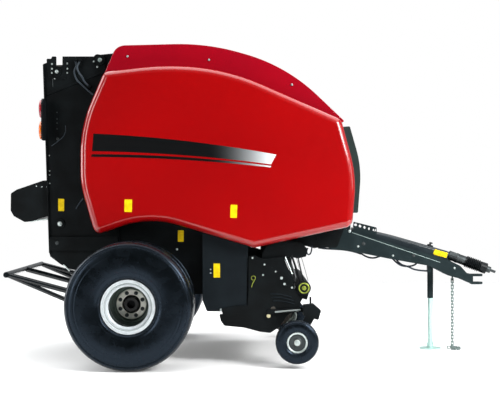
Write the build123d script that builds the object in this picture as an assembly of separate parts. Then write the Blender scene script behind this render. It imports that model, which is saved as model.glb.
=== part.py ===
from build123d import *
import math
import os

# Round baler. Millimetres: X forward from the wheel axle, Y to the left, Z up from the floor.
# Outlines are X, Z points with a corner radius each. Right-hand pieces lie at -Y.

# Clearances
MOVING_GAP = 6
PIN_FIT = 0.3
SEAT = 0.3

# Main wheels: a wide flotation tyre on a disc wheel
TYRE_RADIUS = 540
TYRE_WIDTH = 545
WHEEL_Y = 1147.5
RIM_SEAT_RADIUS = 204
RIM_FLANGE_RADIUS = 226
RIM_WIDTH = 464
RIM_FLANGE = 12
RIM_WALL = 8
DISC_INSET = 87
DISC_THICKNESS = 12
HUB_RADIUS = 78
HUB_LENGTH = 110
SPINDLE_RADIUS = 35

# Chamber side sheets and main frame
SHEET_Y = 782
SHEET_THICKNESS = 8
GATE_SHEET_Y = SHEET_Y + SHEET_THICKNESS + MOVING_GAP
HINGE_X = -305
HINGE_Z = 2660
HINGE_PIN_RADIUS = 30
HINGE_HEAD_RADIUS = 42
AXLE_BEAM = 120
AXLE_BEAM_OVERHANG = 60
AXLE_BEAM_HALF_LENGTH = SHEET_Y + SHEET_THICKNESS + AXLE_BEAM_OVERHANG
FRONT_BEAM = 120
FRONT_BEAM_X = 1700
FRONT_BEAM_Z = 1090
LOWER_BEAM = 80
LOWER_BEAM_X = 560
LOWER_BEAM_RISE = 100
LOWER_BEAM_Z = TYRE_RADIUS + LOWER_BEAM_RISE
TOP_TIE_X = 250
SHEET_RISE = 65
TOP_TIE_DROP = 27
TOP_TIE_Z = HINGE_Z + SHEET_RISE - TOP_TIE_DROP
TOP_TIE_RADIUS = 25

# Bearing housings that carry the rolls' shafts
BEARING_RADIUS = 38
BEARING_DEPTH = 18
BEARING_CAP_RADIUS = 20

# Rolls and belts
BELT_THICKNESS = 8
BELT_WIDTH = 178
BELT_PITCH = 214
BELT_COUNT = 7
ROLL_RADIUS = 62
FLOOR_ROLL_RADIUS = 125

# Side shields, hinged along their top
SHIELD_INNER_Y = 932
SHIELD_DEPTH = 124
SHIELD_WALL = 6
SHIELD_EDGE = 60
SHIELD_HINGE_Y = 950
SHIELD_HINGE_Z = 2540
SHIELD_PIN_RADIUS = 6
SHIELD_KNUCKLE_RADIUS = 10
SHIELD_KNUCKLE_LENGTH = 40
SHIELD_HINGE_ARM = 24
SHIELD_HINGES = (0, 430)

# Upper side panels and front cover
PANEL_OUTER_Y = 908
PANEL_DEPTH = 40
PANEL_WALL = 5
PANEL_BOLTS = [(-52, 2680), (657, 2649), (1379, 2434)]
FRONT_COVER_HALF_WIDTH = SHEET_Y - SEAT
FRONT_COVER_DEPTH = 120
FRONT_COVER_WALL = 6

# Lower drive covers
COVER_OUTER_Y = 920
COVER_WALL = 4
COVER_TYRE_GAP = 60

# Drawbar, measured back from its nose
NOSE_X = 3108
NOSE_Z = 682
TONGUE_HALF_WIDTH = 110
TONGUE_WALL = 10
TONGUE_REAR_HEIGHT = 229
TONGUE_TOP_RISE = 0.3057
GUARD_HALF_WIDTH = 62
GUARD_HEIGHT = 98
GUARD_WALL = 4
GUARD_CORNER = 40
GUARD_CLEARANCE = 12
GEARBOX_LENGTH = 165
GEARBOX_HALF_WIDTH = 95
GEARBOX_HEIGHT = 112
CROSS_DRIVE_RADIUS = 32
RACK_SETBACK = 1120
RACK_LENGTH = 220
RACK_PLATE = 6
RACK_HOLES = 5
RACK_HOLE_RADIUS = 15
CLEVIS_HALF_WIDTH = 52
CLEVIS_PLATE = 20
CLEVIS_GAP = 55
HITCH_REACH = 60
HITCH_X = NOSE_X + HITCH_REACH
HITCH_Z = NOSE_Z - 1
HITCH_PIN_RADIUS = 17
JACK_SETBACK = 360
JACK_X = NOSE_X - JACK_SETBACK
JACK_Y = TONGUE_HALF_WIDTH + 40
JACK_TUBE_RADIUS = 28.5
JACK_LEG_RADIUS = 24
JACK_TUBE_BOTTOM = 488
JACK_TUBE_TOP = 992
JACK_FOOT_RADIUS = 100

# Safety chain
CHAIN_SETBACK = 174
CHAIN_X = NOSE_X - CHAIN_SETBACK
CHAIN_TOP = 664
CHAIN_WIRE = 8
CHAIN_WIDTH = 28
CHAIN_LENGTH = 46
CHAIN_HANGING = 22
CHAIN_LYING = 9
CHAIN_TURN = 24

# Held hoses
HOSE_RADIUS = 9
HOSE_BLOCK_SETBACK = 420
HOSE_BLOCK_X = NOSE_X - HOSE_BLOCK_SETBACK
GATE_HOSE_RADIUS = 8
GATE_PORT_RADIUS = 13

# Power shaft
SHAFT_SETBACK = 228
SHAFT_REAR_X = NOSE_X - SHAFT_SETBACK
SHAFT_REAR_Z = NOSE_Z + 233
SHAFT_TILT = 20
SHAFT_GUARD_RADIUS = 44
BELLOWS_RADIUS = 56
YOKE_RADIUS = 30
YOKE_EAR = 24
YOKE_END = 487

# Pick-up
PICKUP_PLATE_Y = 927
PICKUP_PLATE = 8
PICKUP_PIVOT_X = 900
PICKUP_PIVOT_Z = 560
PICKUP_PIN_RADIUS = 20
REEL_X = 1215
REEL_Z = 485
REEL_RADIUS = 232
REEL_SHAFT_RADIUS = 20
TINE_PITCH = 70
TINES_PER_BAR = 22
TINE_BARS = 5
TINE_BAR_CIRCLE = 128
TINE_WIRE = 7
TINE_SWEEP = -14
BAND_RADIUS = 165

# Gauge wheels
GAUGE_X = 1413
GAUGE_Z = 223
GAUGE_Y = 1150
GAUGE_RADIUS = 183
GAUGE_WIDTH = 150
GAUGE_RIM_RADIUS = 88
GAUGE_AXLE_RADIUS = 12

# Windguard
WINDGUARD_PIVOT_X = 1140
WINDGUARD_PIVOT_Z = 871
WINDGUARD_ARM_Y = 885
WINDGUARD_TUBE_X = 1378
WINDGUARD_TUBE_Z = 952
WINDGUARD_TUBE_RADIUS = 20
WINDGUARD_TINES = 13
WINDGUARD_TINE_PITCH = 125
WINDGUARD_TINE_RADIUS = 5
GUARD_ROLLER_X = 1484
GUARD_ROLLER_Z = 662
GUARD_ROLLER_RADIUS = 60

# Tailgate sheets' folded rear edge
GATE_FOLD = 24
GATE_RAIL = 32
GATE_BRACE = 14

# Tailgate lift cylinders
CYLINDER_Y = 860
CYLINDER_BASE_X = 420
CYLINDER_BASE_Z = 1500
CYLINDER_EYE_X = -380
CYLINDER_EYE_Z = 2000
BARREL_RADIUS = 36
ROD_RADIUS = 20

# Net box and lamps on the tailgate
NET_BOX_HALF_WIDTH = GATE_SHEET_Y - SEAT
NET_BOX_WALL = 4
NET_LID_X = -800
NET_LID_Z = 1592
NET_LID_GAP = 3
NET_LID_PIN_RADIUS = 5
LAMP_Y = 910
LAMP_RADIUS = 80
LAMP_FACE_X = -812
LAMP_DEPTH = 30
LAMP_DRUM = 12
LAMP_HEIGHTS = (2222, 2037)

# Bale ramp
RAMP_TUBE_RADIUS = 25
RAMP_ARM_Y = 838
RAMP_PIVOT_X = -150
RAMP_PIVOT_Z = 440
RAMP_BAR_X = -1120
RAMP_BAR_Z = 775
RAMP_TIE_X = -440
RAMP_TIE_Z = 595
RAMP_BRACE_X = -470
RAMP_BRACE_Z = 500
RAMP_ARM_RADIUS = 24
RAMP_BRACE_RADIUS = 20
RAMP_BEND = 120
RAMP_EAR_Y = 560

# The part is kept centred over its length
REAR_X = RAMP_BAR_X - RAMP_TUBE_RADIUS
FRONT_X = SHAFT_REAR_X + YOKE_END * math.cos(math.radians(SHAFT_TILT)) + YOKE_EAR / 2 * math.sin(
    math.radians(SHAFT_TILT)
)
MIDDLE_X = (REAR_X + FRONT_X) / 2


def outline(corners):
    """A closed face in X and Z from rows of x, z, corner radius."""
    points = [(x, z) for x, z, radius in corners]
    radii = [radius for x, z, radius in corners]
    return Plane.XZ * make_face(FilletPolyline(*points, radius=radii, close=True))


def inset(corners, distance):
    """The same outline a wall's thickness further in all round."""
    count = len(corners)
    area = sum(a[0] * b[1] - b[0] * a[1] for a, b in zip(corners, corners[1:] + corners[:1]))
    side = math.copysign(1, area)
    moved = []
    for i, (x, z, radius) in enumerate(corners):
        before, after = corners[i - 1], corners[(i + 1) % count]
        a = math.atan2(z - before[1], x - before[0])
        b = math.atan2(after[1] - z, after[0] - x)
        half = math.remainder(b - a, 2 * math.pi) / 2
        reach = side * distance / math.cos(half)
        tighter = distance * math.copysign(1, half * side)
        place = (x - reach * math.sin(a + half), z + reach * math.cos(a + half))
        moved.append((*place, max(radius - tighter, 0) if radius else 0))
    return moved


def slab(corners, y_inner, y_outer):
    """A right-hand plate cut to an outline, from one distance off centre to another."""
    return Pos(0, -y_inner, 0) * extrude(outline(corners), y_outer - y_inner)


def across(corners, half_width):
    """An outline carried right across the machine."""
    return Pos(0, half_width, 0) * extrude(outline(corners), 2 * half_width)


def tray(corners, y_inner, y_outer, wall, edge):
    """A pressed right-hand cover: flat face, rounded rim, open on its inner side."""
    depth = y_outer - y_inner
    shell = extrude(outline(corners), depth)
    shell = fillet(shell.faces().sort_by(Axis.Y)[0].edges(), edge)
    core = extrude(outline(inset(corners, wall)), depth - wall)
    if edge > wall:
        core = fillet(core.faces().sort_by(Axis.Y)[0].edges(), edge - wall)
    return Pos(0, -y_inner, 0) * (shell - core)


def cross_bar(x, z, radius, half_length):
    """A round bar right across the machine."""
    return Pos(x, 0, z) * Rot(X=90) * Cylinder(radius, 2 * half_length)


def stub(x, z, radius, y_inner, y_outer):
    """A right-hand round stub along Y."""
    length = y_outer - y_inner
    return Pos(x, -(y_inner + y_outer) / 2, z) * Rot(X=90) * Cylinder(radius, length)


def box(x0, x1, y0, y1, z0, z1):
    """A block between two corners."""
    return Pos((x0 + x1) / 2, (y0 + y1) / 2, (z0 + z1) / 2) * Box(x1 - x0, y1 - y0, z1 - z0)


def tube_along(points, bend, radius):
    """A round tube along straight runs with bends of one radius."""
    path = FilletPolyline(*points, radius=bend) if len(points) > 2 else Line(*points)
    start = Plane(path @ 0, z_dir=path % 0)
    return sweep(start * Circle(radius), path=path)


def offset_path(points, distance):
    """An open run of X, Z points moved to its left, its corners mitred."""
    bearings = [math.atan2(b[1] - a[1], b[0] - a[0]) for a, b in zip(points, points[1:])]
    before = bearings[:1] + bearings
    after = bearings + bearings[-1:]
    moved = []
    for (x, z), a, b in zip(points, before, after):
        half = math.remainder(b - a, 2 * math.pi) / 2
        reach = distance / math.cos(half)
        moved.append((x - reach * math.sin(a + half), z + reach * math.cos(a + half)))
    return moved


def ribbon(points, radii, thickness):
    """Corner rows of a strip of even thickness along X, Z points, bent to the middle radii."""
    half = thickness / 2
    turns = []
    for before, here, after in zip(points, points[1:], points[2:]):
        a = math.atan2(here[1] - before[1], here[0] - before[0])
        b = math.atan2(after[1] - here[1], after[0] - here[0])
        turns.append(math.copysign(half, math.remainder(b - a, 2 * math.pi)))
    left = [0] + [radius - turn for radius, turn in zip(radii, turns)] + [0]
    right = [0] + [radius + turn for radius, turn in zip(radii, turns)] + [0]
    there = [(*point, r) for point, r in zip(offset_path(points, half), left)]
    back = [(*point, r) for point, r in zip(offset_path(points, -half), right)]
    return there + back[::-1]


def wrapped(guides, shift):
    """Edges of a line held tight round its guides, and its end points, moved to its left.

    A guide is x, z, radius and the side it lies on: 1 left, -1 right. The first and last
    are the line's free ends, with no radius.
    """
    reaches = [side * radius - shift for x, z, radius, side in guides]
    runs = []
    for (x0, z0, *rest), (x1, z1, *more), near, far in zip(guides, guides[1:], reaches, reaches[1:]):
        bearing = math.atan2(z1 - z0, x1 - x0)
        bearing -= math.asin((far - near) / math.hypot(x1 - x0, z1 - z0))
        across_x, across_z = -math.sin(bearing), math.cos(bearing)
        start = (x0 - near * across_x, z0 - near * across_z)
        end = (x1 - far * across_x, z1 - far * across_z)
        runs.append((start, end, bearing))
    edges = [Line(runs[0][0], runs[0][1])]
    for (x, z, *rest), reach, (a, a_end, a_way), (b, b_end, b_way) in zip(
        guides[1:], reaches[1:], runs, runs[1:]
    ):
        middle = a_way + math.remainder(b_way - a_way, 2 * math.pi) / 2
        crest = (x + reach * math.sin(middle), z - reach * math.cos(middle))
        edges += [ThreePointArc(a_end, crest, b), Line(b, b_end)]
    return edges, runs[0][0], runs[-1][1]


def mirrored(shape):
    """The left-hand twin of a right-hand piece."""
    return mirror(shape, about=Plane.XZ)


def fuse(*shapes):
    """One solid from overlapping shapes."""
    return shapes[0].fuse(*shapes[1:]).clean()


def write(name, shape):
    """One sub-part, moved so that the machine is centred over its length."""
    solids = [Pos(-MIDDLE_X, 0, 0) * solid for solid in shape.solids()]
    export_step(Compound(solids), f"parts/{name}.step")


def write_pair(name, right):
    """A right-hand piece and its left-hand twin."""
    write(f"{name}_right", right)
    write(f"{name}_left", mirrored(right))


# Wheels


def turned(profile, x, y, z):
    """A right-hand piece turned about Y from rows of radius, distance outward from its middle."""
    face = make_face(Polyline(*[(radius, -out) for radius, out in profile], close=True))
    return Pos(x, -y, z) * revolve(face, Axis.Y)


def tyre():
    """The tyre as it shows: bead, bulged sidewall, shoulder and flat crown."""
    half = TYRE_WIDTH / 2
    bead = RIM_WIDTH / 2 - RIM_FLANGE - SEAT
    side = [
        (RIM_SEAT_RADIUS + SEAT, bead),
        (RIM_FLANGE_RADIUS + SEAT, bead),
        (RIM_FLANGE_RADIUS + 14, bead + 16),
        (0.64 * TYRE_RADIUS, half),
        (0.82 * TYRE_RADIUS, half - 4),
        (0.94 * TYRE_RADIUS, half - 34),
        (TYRE_RADIUS, half - 90),
    ]
    other = [(radius, -out) for radius, out in reversed(side)]
    return turned(side + other, 0, WHEEL_Y, TYRE_RADIUS)


def rim():
    """Barrel, flanges, disc and hub in one turned piece."""
    half = RIM_WIDTH / 2
    inner = RIM_SEAT_RADIUS - RIM_WALL
    disc_out = -DISC_INSET
    disc_in = disc_out - DISC_THICKNESS
    bore = SPINDLE_RADIUS + PIN_FIT
    profile = [
        (RIM_SEAT_RADIUS, -half + RIM_FLANGE), (RIM_FLANGE_RADIUS, -half + RIM_FLANGE),
        (RIM_FLANGE_RADIUS, -half), (inner, -half), (inner, disc_in),
        (HUB_RADIUS, disc_in), (HUB_RADIUS, disc_in - 40), (bore, disc_in - 40),
        (bore, disc_in - 40 + HUB_LENGTH), (HUB_RADIUS - 20, disc_in - 40 + HUB_LENGTH),
        (HUB_RADIUS, disc_out), (inner, disc_out), (inner, half),
        (RIM_FLANGE_RADIUS, half), (RIM_FLANGE_RADIUS, half - RIM_FLANGE),
        (RIM_SEAT_RADIUS, half - RIM_FLANGE),
    ]
    return turned(profile, 0, WHEEL_Y, TYRE_RADIUS)


# Frame


def main_frame():
    """Axle beam with spindles, the front beam that carries the drawbar, and a lower beam."""
    half = AXLE_BEAM / 2
    z = TYRE_RADIUS
    axle = box(-half, half, -AXLE_BEAM_HALF_LENGTH, AXLE_BEAM_HALF_LENGTH, z - half, z + half)
    spindle_end = WHEEL_Y - DISC_INSET - 5
    spindle = stub(0, z, SPINDLE_RADIUS, AXLE_BEAM_HALF_LENGTH - 20, spindle_end)
    ear = slab([(-half, z + 40, 0), (-half, z - 50, 0), (-100, 400, 20), (-196, 400, 30), (-196, 480, 30)],
               RAMP_EAR_Y, RAMP_EAR_Y + 15)
    ear = ear - stub(RAMP_PIVOT_X, RAMP_PIVOT_Z, RAMP_TUBE_RADIUS + PIN_FIT, RAMP_EAR_Y - 5, RAMP_EAR_Y + 20)
    side = [spindle, ear]
    return fuse(axle, *side, *[mirrored(piece) for piece in side])


def beam(x, z, size):
    """A square beam between the two side sheets."""
    reach = SHEET_Y - SEAT
    return box(x - size / 2, x + size / 2, -reach, reach, z - size / 2, z + size / 2)


def top_tie():
    """The tube that ties the side sheets above the belts."""
    return cross_bar(TOP_TIE_X, TOP_TIE_Z, TOP_TIE_RADIUS, SHEET_Y - SEAT)


def frame_sheet():
    """The fixed side sheet, with the ear and pin that carry the tailgate."""
    sheet = slab(
        [
            (-352, HINGE_Z - 45, 30), (-352, HINGE_Z + 45, 30), (-60, HINGE_Z + SHEET_RISE + 10, 60),
            (600, HINGE_Z + SHEET_RISE, 900),
            (1000, 2640, 900), (1420, 2455, 500), (1800, 2080, 80), (1880, 1700, 500),
            (1870, 1250, 60), (1780, FRONT_BEAM_Z - 80, 30), (1620, FRONT_BEAM_Z - 80, 30),
            (1590, 1210, 60), (1040, 1210, 60), (975, 540, 30), (600, TYRE_RADIUS + 60, 20),
            (-130, TYRE_RADIUS + 60, 0), (-130, 830, 60), (-245, 2560, 20),
        ],
        SHEET_Y, SHEET_Y + SHEET_THICKNESS,
    )
    head_y = GATE_SHEET_Y + SHEET_THICKNESS + MOVING_GAP
    pin = stub(HINGE_X, HINGE_Z, HINGE_PIN_RADIUS, SHEET_Y - 12, head_y)
    head = stub(HINGE_X, HINGE_Z, HINGE_HEAD_RADIUS, head_y, head_y + 12)
    parts = [sheet, pin, head]
    for x in SHIELD_HINGES:
        half = SHIELD_HINGE_ARM / 2
        arm = box(x - half, x + half, -SHIELD_HINGE_Y, -SHEET_Y,
                  SHIELD_HINGE_Z - 10, SHIELD_HINGE_Z + 3)
        reach = half + SHIELD_KNUCKLE_LENGTH
        hinge_pin = Pos(x, -SHIELD_HINGE_Y, SHIELD_HINGE_Z) * Rot(Y=90)
        parts += [arm, hinge_pin * Cylinder(8, SHIELD_HINGE_ARM)]
        parts.append(hinge_pin * Cylinder(SHIELD_PIN_RADIUS, 2 * reach))
    base = stub(CYLINDER_BASE_X, CYLINDER_BASE_Z, ROD_RADIUS,
                SHEET_Y, CYLINDER_Y + BARREL_RADIUS + 4)
    pivot = stub(PICKUP_PIVOT_X, PICKUP_PIVOT_Z, PICKUP_PIN_RADIUS + PIN_FIT, SHEET_Y - 5, GATE_SHEET_Y)
    housings = bearings(FRONT_ROLLS[1:4], SHEET_Y + SHEET_THICKNESS)
    return fuse(*parts, base, *housings) - pivot


def bearings(rows, face_y):
    """Right-hand bearing housings with domed caps, on a sheet's outer face."""
    pieces = []
    for x, z in rows:
        pieces.append(stub(x, z, BEARING_RADIUS, face_y - 2, face_y + BEARING_DEPTH))
        pieces.append(stub(x, z, BEARING_CAP_RADIUS, face_y, face_y + BEARING_DEPTH + 10))
    return pieces


def rolls(rows, radius, sheet_y):
    """Rolls that carry the belts, each between a pair of side sheets."""
    return Compound(children=[cross_bar(x, z, radius, sheet_y - SEAT) for x, z in rows])


def belts(guides):
    """Flat rubber belts side by side, held tight round the same rolls."""
    near, near_start, near_end = wrapped(guides, 0)
    far, far_start, far_end = wrapped(guides, -guides[1][3] * BELT_THICKNESS)
    ends = [Line(near_start, far_start), Line(near_end, far_end)]
    face = Plane.XZ * make_face(near + far + ends)
    strip = Pos(0, BELT_WIDTH / 2, 0) * extrude(face, BELT_WIDTH)
    first = -(BELT_COUNT - 1) / 2
    return Compound(children=[Pos(0, (first + i) * BELT_PITCH, 0) * strip for i in range(BELT_COUNT)])


# Rolls as X, Z places, in the order in which the belts pass over them
FRONT_ROLLS = [(-170, 2560), (520, 2590), (1540, 2100), (1715, 1780), (1715, 1330), (1290, 1330)]
GATE_ROLLS = [(-683, 2556), (-655, 1221), (-640, 950), (-230, 900)]
FLOOR_ROLLS = [(300, 775), (800, 800)]
BELT_REACH = ROLL_RADIUS + SEAT


def guides(start, places, end):
    """The belt's free ends and the rolls between, all on the belt's right."""
    return [(*start, 0, -1)] + [(x, z, BELT_REACH, -1) for x, z in places] + [(*end, 0, -1)]


# Red bodywork

SHIELD_TOP = [(1800, 2125, 80), (768, 2580, 1900), (200, 2588, 2300), (-245, 2535, 66)]
SHIELD_OUTLINE = SHIELD_TOP + [
    (-448, 2063, 1100), (-448, 1566, 800), (-320, 2 * TYRE_RADIUS + 45, 66),
    (150, 2 * TYRE_RADIUS + 207, 800),
    (1050, 1018, 90), (1895, 1205, 75), (1932, 1640, 1100),
]
PANEL_OUTLINE = [
    (1850, 2105, 10), (1330, 2600, 1500), (640, 2796, 1900), (-150, 2776, 110),
    (-262, 2515, 10), (200, 2575, 2300), (768, 2566, 1900), (1800, 2111, 0),
]


def side_shield():
    """The large red side shield with its two hinge knuckles and lip notches."""
    outer_y = SHIELD_INNER_Y + SHIELD_DEPTH
    shell = tray(SHIELD_OUTLINE, SHIELD_INNER_Y, outer_y, SHIELD_WALL, SHIELD_EDGE)
    solid = slab(SHIELD_OUTLINE, SHIELD_INNER_Y, outer_y)
    half = SHIELD_HINGE_ARM / 2
    for x in SHIELD_HINGES:
        notch = box(x - half - 6, x + half + 6, -SHIELD_HINGE_Y - 16, -SHIELD_INNER_Y + 2,
                    SHIELD_HINGE_Z - 20, SHIELD_HINGE_Z + 60)
        shell = shell - notch
    for x in SHIELD_HINGES:
        for side in (-1, 1):
            middle = x + side * (half + 2 + SHIELD_KNUCKLE_LENGTH / 2)
            reach = SHIELD_KNUCKLE_LENGTH / 2 - 2
            place = Pos(middle, -SHIELD_HINGE_Y, SHIELD_HINGE_Z) * Rot(Y=90)
            barrel = place * Cylinder(SHIELD_KNUCKLE_RADIUS, 2 * reach)
            leaf = box(middle - reach, middle + reach, -SHIELD_HINGE_Y - 10, -SHIELD_HINGE_Y - 4,
                       SHIELD_HINGE_Z, SHIELD_HINGE_Z + 60)
            shell = fuse(shell, barrel, leaf & solid)
            shell = shell - place * Cylinder(SHIELD_PIN_RADIUS + PIN_FIT, 4 * reach)
    return shell


def upper_panel():
    """The red crescent above the shield."""
    shell = tray(PANEL_OUTLINE, PANEL_OUTER_Y - PANEL_DEPTH, PANEL_OUTER_Y, PANEL_WALL, 4)
    posts = []
    for x, z in PANEL_BOLTS:
        posts.append(stub(x, z, 12, SHEET_Y + SHEET_THICKNESS + SEAT, PANEL_OUTER_Y - PANEL_WALL / 2))
        posts.append(stub(x, z, 10, PANEL_OUTER_Y - PANEL_WALL / 2, PANEL_OUTER_Y + 6))
    return fuse(shell, *posts)


def front_cover():
    """The curved cover between the side sheets, hollow from behind."""
    outer = [(1894, 2080, 12), (1996, 1720, 900), (1965, 1317, 12)]
    inner = [(1965 - FRONT_COVER_DEPTH, 1317, 12), (1996 - FRONT_COVER_DEPTH, 1720, 860),
             (1894 - FRONT_COVER_DEPTH, 2072, 12)]
    body = across(outer + inner, FRONT_COVER_HALF_WIDTH)
    shift = Pos(-FRONT_COVER_WALL, 0, 0)
    return body - shift * across(outer + inner, FRONT_COVER_HALF_WIDTH - FRONT_COVER_WALL)


def drive_cover():
    """The flat cover over the side drives, below the shield."""
    rear = TYRE_RADIUS + COVER_TYRE_GAP
    corners = [(rear, 1240, 10), (rear, 560, 30), (rear + 38, 462, 20), (986, 456, 10), (1000, 1240, 10)]
    return tray(corners, SHEET_Y + SHEET_THICKNESS + SEAT, COVER_OUTER_Y, COVER_WALL, 3)


# Drawbar


def tongue_top(x):
    """Height of the drawbar's straight top edge."""
    return NOSE_Z + 173 + (NOSE_X - 206 - x) * TONGUE_TOP_RISE


def tongue():
    """The box drawbar, with the chain's eye, the shaft guard's saddle and the hose rack."""
    rear = FRONT_BEAM_X + FRONT_BEAM / 2
    n, z = NOSE_X, NOSE_Z
    corners = [
        (rear, tongue_top(rear), 0), (n - 206, tongue_top(n - 206), 60), (n - 118, z + 130, 60),
        (n - 48, z + 53, 10), (n, z + 46, 0), (n, z - 46, 10), (n - 120, z + 8, 200),
        (n - 232, z + 38, 200), (n - 400, z + 127, 150), (n - 777, z + 194, 600),
        (n - 1064, z + 252, 300), (rear, tongue_top(rear) - TONGUE_REAR_HEIGHT, 0),
    ]
    outer = across(corners, TONGUE_HALF_WIDTH)
    body = outer - across(inset(corners, TONGUE_WALL), TONGUE_HALF_WIDTH - TONGUE_WALL)
    top_bar_z = CHAIN_TOP + (CHAIN_LENGTH - CHAIN_WIRE) / 2
    eye = box(CHAIN_X - 4, CHAIN_X + 4, -20, 20, top_bar_z - 17, CHAIN_TOP + 48)
    half_slot = CHAIN_WIRE / 2 + SEAT
    slot = box(CHAIN_X - 20, CHAIN_X + 20, -half_slot, half_slot, top_bar_z - half_slot, top_bar_z + 8)
    front = SHAFT_REAR_X + 35
    saddle = box(front - 20, front, -20, 20, tongue_top(front) - 6, tongue_top(front) + 33)
    saddle = saddle - along_shaft(0) * Cylinder(SHAFT_GUARD_RADIUS + SEAT, 300)
    block = box(HOSE_BLOCK_X, HOSE_BLOCK_X + 32, -82, -20, 748, tongue_top(HOSE_BLOCK_X) - 96)
    return fuse(body, eye - slot, saddle, hose_rack(), block)


def hose_rack():
    """The upright plate beside the guard, with a row of holes that park the hose ends."""
    x0 = NOSE_X - RACK_SETBACK
    x1 = x0 + RACK_LENGTH
    y = GUARD_HALF_WIDTH + 8
    edge = [(x0, tongue_top(x0) - 4, 0), (x0, tongue_top(x0) + 92, 8), (x1, tongue_top(x1) + 104, 8),
            (x1, tongue_top(x1) - 4, 0)]
    plate = slab(edge, y, y + RACK_PLATE)
    for i in range(RACK_HOLES):
        x = x0 + (i + 0.5) * RACK_LENGTH / RACK_HOLES
        plate = plate - stub(x, tongue_top(x) + 72, RACK_HOLE_RADIUS, y - 5, y + 2 * RACK_PLATE)
    return plate


def gearbox():
    """The drive gearbox on the drawbar's rear end, with cross drives to both side sheets."""
    x0 = FRONT_BEAM_X + FRONT_BEAM / 2 + 35
    x1 = x0 + GEARBOX_LENGTH
    top = tongue_top(x0) + GEARBOX_HEIGHT
    body = across(
        [(x0, tongue_top(x0) + SEAT, 0), (x0, top, 20), (x1 - 40, top - 8, 30), (x1, top - 70, 15),
         (x1, tongue_top(x1) + SEAT, 0)],
        GEARBOX_HALF_WIDTH,
    )
    rib = across([(x0 + 12, top - 60, 0), (x0 + 12, top + 5, 8), (x1 - 50, top - 4, 8),
                  (x1 - 30, top - 60, 0)], 6)
    x, z = x0 + CROSS_DRIVE_RADIUS + 8, top - GEARBOX_HEIGHT / 2
    drive = cross_bar(x, z, CROSS_DRIVE_RADIUS, SHEET_Y - SEAT)
    flange = stub(x, z, CROSS_DRIVE_RADIUS + 12, GEARBOX_HALF_WIDTH - 2, GEARBOX_HALF_WIDTH + 14)
    return fuse(body, rib, drive, flange, mirrored(flange))


def hitch_clevis():
    """Two jaws around the hitch pin, joined by the block at the drawbar's nose."""
    rear = NOSE_X
    top = HITCH_Z + CLEVIS_GAP / 2
    jaws = []
    for z in (top, HITCH_Z - CLEVIS_GAP / 2 - CLEVIS_PLATE):
        plate = box(rear, HITCH_X, -CLEVIS_HALF_WIDTH, CLEVIS_HALF_WIDTH, z, z + CLEVIS_PLATE)
        nose = Pos(HITCH_X, 0, z + CLEVIS_PLATE / 2) * Cylinder(CLEVIS_HALF_WIDTH, CLEVIS_PLATE)
        jaws += [plate, nose]
    low = HITCH_Z - CLEVIS_GAP / 2 - CLEVIS_PLATE
    block = box(rear, rear + 14, -CLEVIS_HALF_WIDTH, CLEVIS_HALF_WIDTH, low, top + CLEVIS_PLATE)
    hole = Pos(HITCH_X, 0, HITCH_Z) * Cylinder(HITCH_PIN_RADIUS, 3 * CLEVIS_GAP)
    return fuse(*jaws, block) - hole


def driveline_guard():
    """The arched tunnel over the power shaft, open below and at its nose."""
    start = FRONT_BEAM_X + FRONT_BEAM / 2 + 35 + GEARBOX_LENGTH + MOVING_GAP
    end = SHAFT_REAR_X - GUARD_CLEARANCE
    slope = math.atan(TONGUE_TOP_RISE)
    length = (end - start) / math.cos(slope)
    place = Pos(start, 0, tongue_top(start)) * Rot(Y=math.degrees(slope))
    shells = []
    for grow, reach in ((0, length), (-GUARD_WALL, length + 60)):
        height = 2 * (GUARD_HEIGHT + grow)
        section = RectangleRounded(height, 2 * (GUARD_HALF_WIDTH + grow), GUARD_CORNER + grow)
        shells.append(Pos(grow, 0, 0) * place * Rot(Y=90) * extrude(section, reach))
    x0, x1 = start - 90, end + 90
    floor = across([(x0, tongue_top(x0) + SEAT, 0), (x1, tongue_top(x1) + SEAT, 0),
                    (x1, tongue_top(x1) - 300, 0), (x0, tongue_top(x0) - 300, 0)], 2 * GUARD_HALF_WIDTH)
    return shells[0] - shells[1] - floor


def along_shaft(distance):
    """A place on the power shaft's line, its Z axis pointing forward along it."""
    reach = math.radians(SHAFT_TILT)
    x = SHAFT_REAR_X + distance * math.cos(reach)
    z = SHAFT_REAR_Z - distance * math.sin(reach)
    return Pos(x, 0, z) * Rot(Y=90 + SHAFT_TILT)


def shaft_guard():
    """The tube and the ribbed bellows over the shaft's end."""
    bearing = YOKE_RADIUS + PIN_FIT
    tube = SHAFT_GUARD_RADIUS
    profile = [(bearing, 20), (tube, 20), (tube, 190)]
    rib = 26
    for i in range(5):
        start = 190 + i * rib
        profile += [(BELLOWS_RADIUS, start), (BELLOWS_RADIUS, start + 14), (48, start + 14), (48, start + rib)]
    profile += [(50, 330), (52, 400), (YOKE_RADIUS + 6, 400), (YOKE_RADIUS + 6, 60), (bearing, 60)]
    face = Plane.XZ * make_face(Polyline(*profile, close=True))
    return along_shaft(0) * revolve(face, Axis.Z)


def shaft_yoke():
    """The yoke that couples to a tractor's shaft: a splined collar with two ears."""
    collar = Pos(0, 0, 220) * Cylinder(YOKE_RADIUS, 440)
    ears = Pos(0, 0, YOKE_END - 25) * Box(YOKE_EAR, 2 * YOKE_RADIUS, 50)
    slot = Pos(0, 0, YOKE_END - 15) * Box(30, YOKE_RADIUS, 60)
    return along_shaft(0) * (fuse(collar, ears) - slot)


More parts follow.
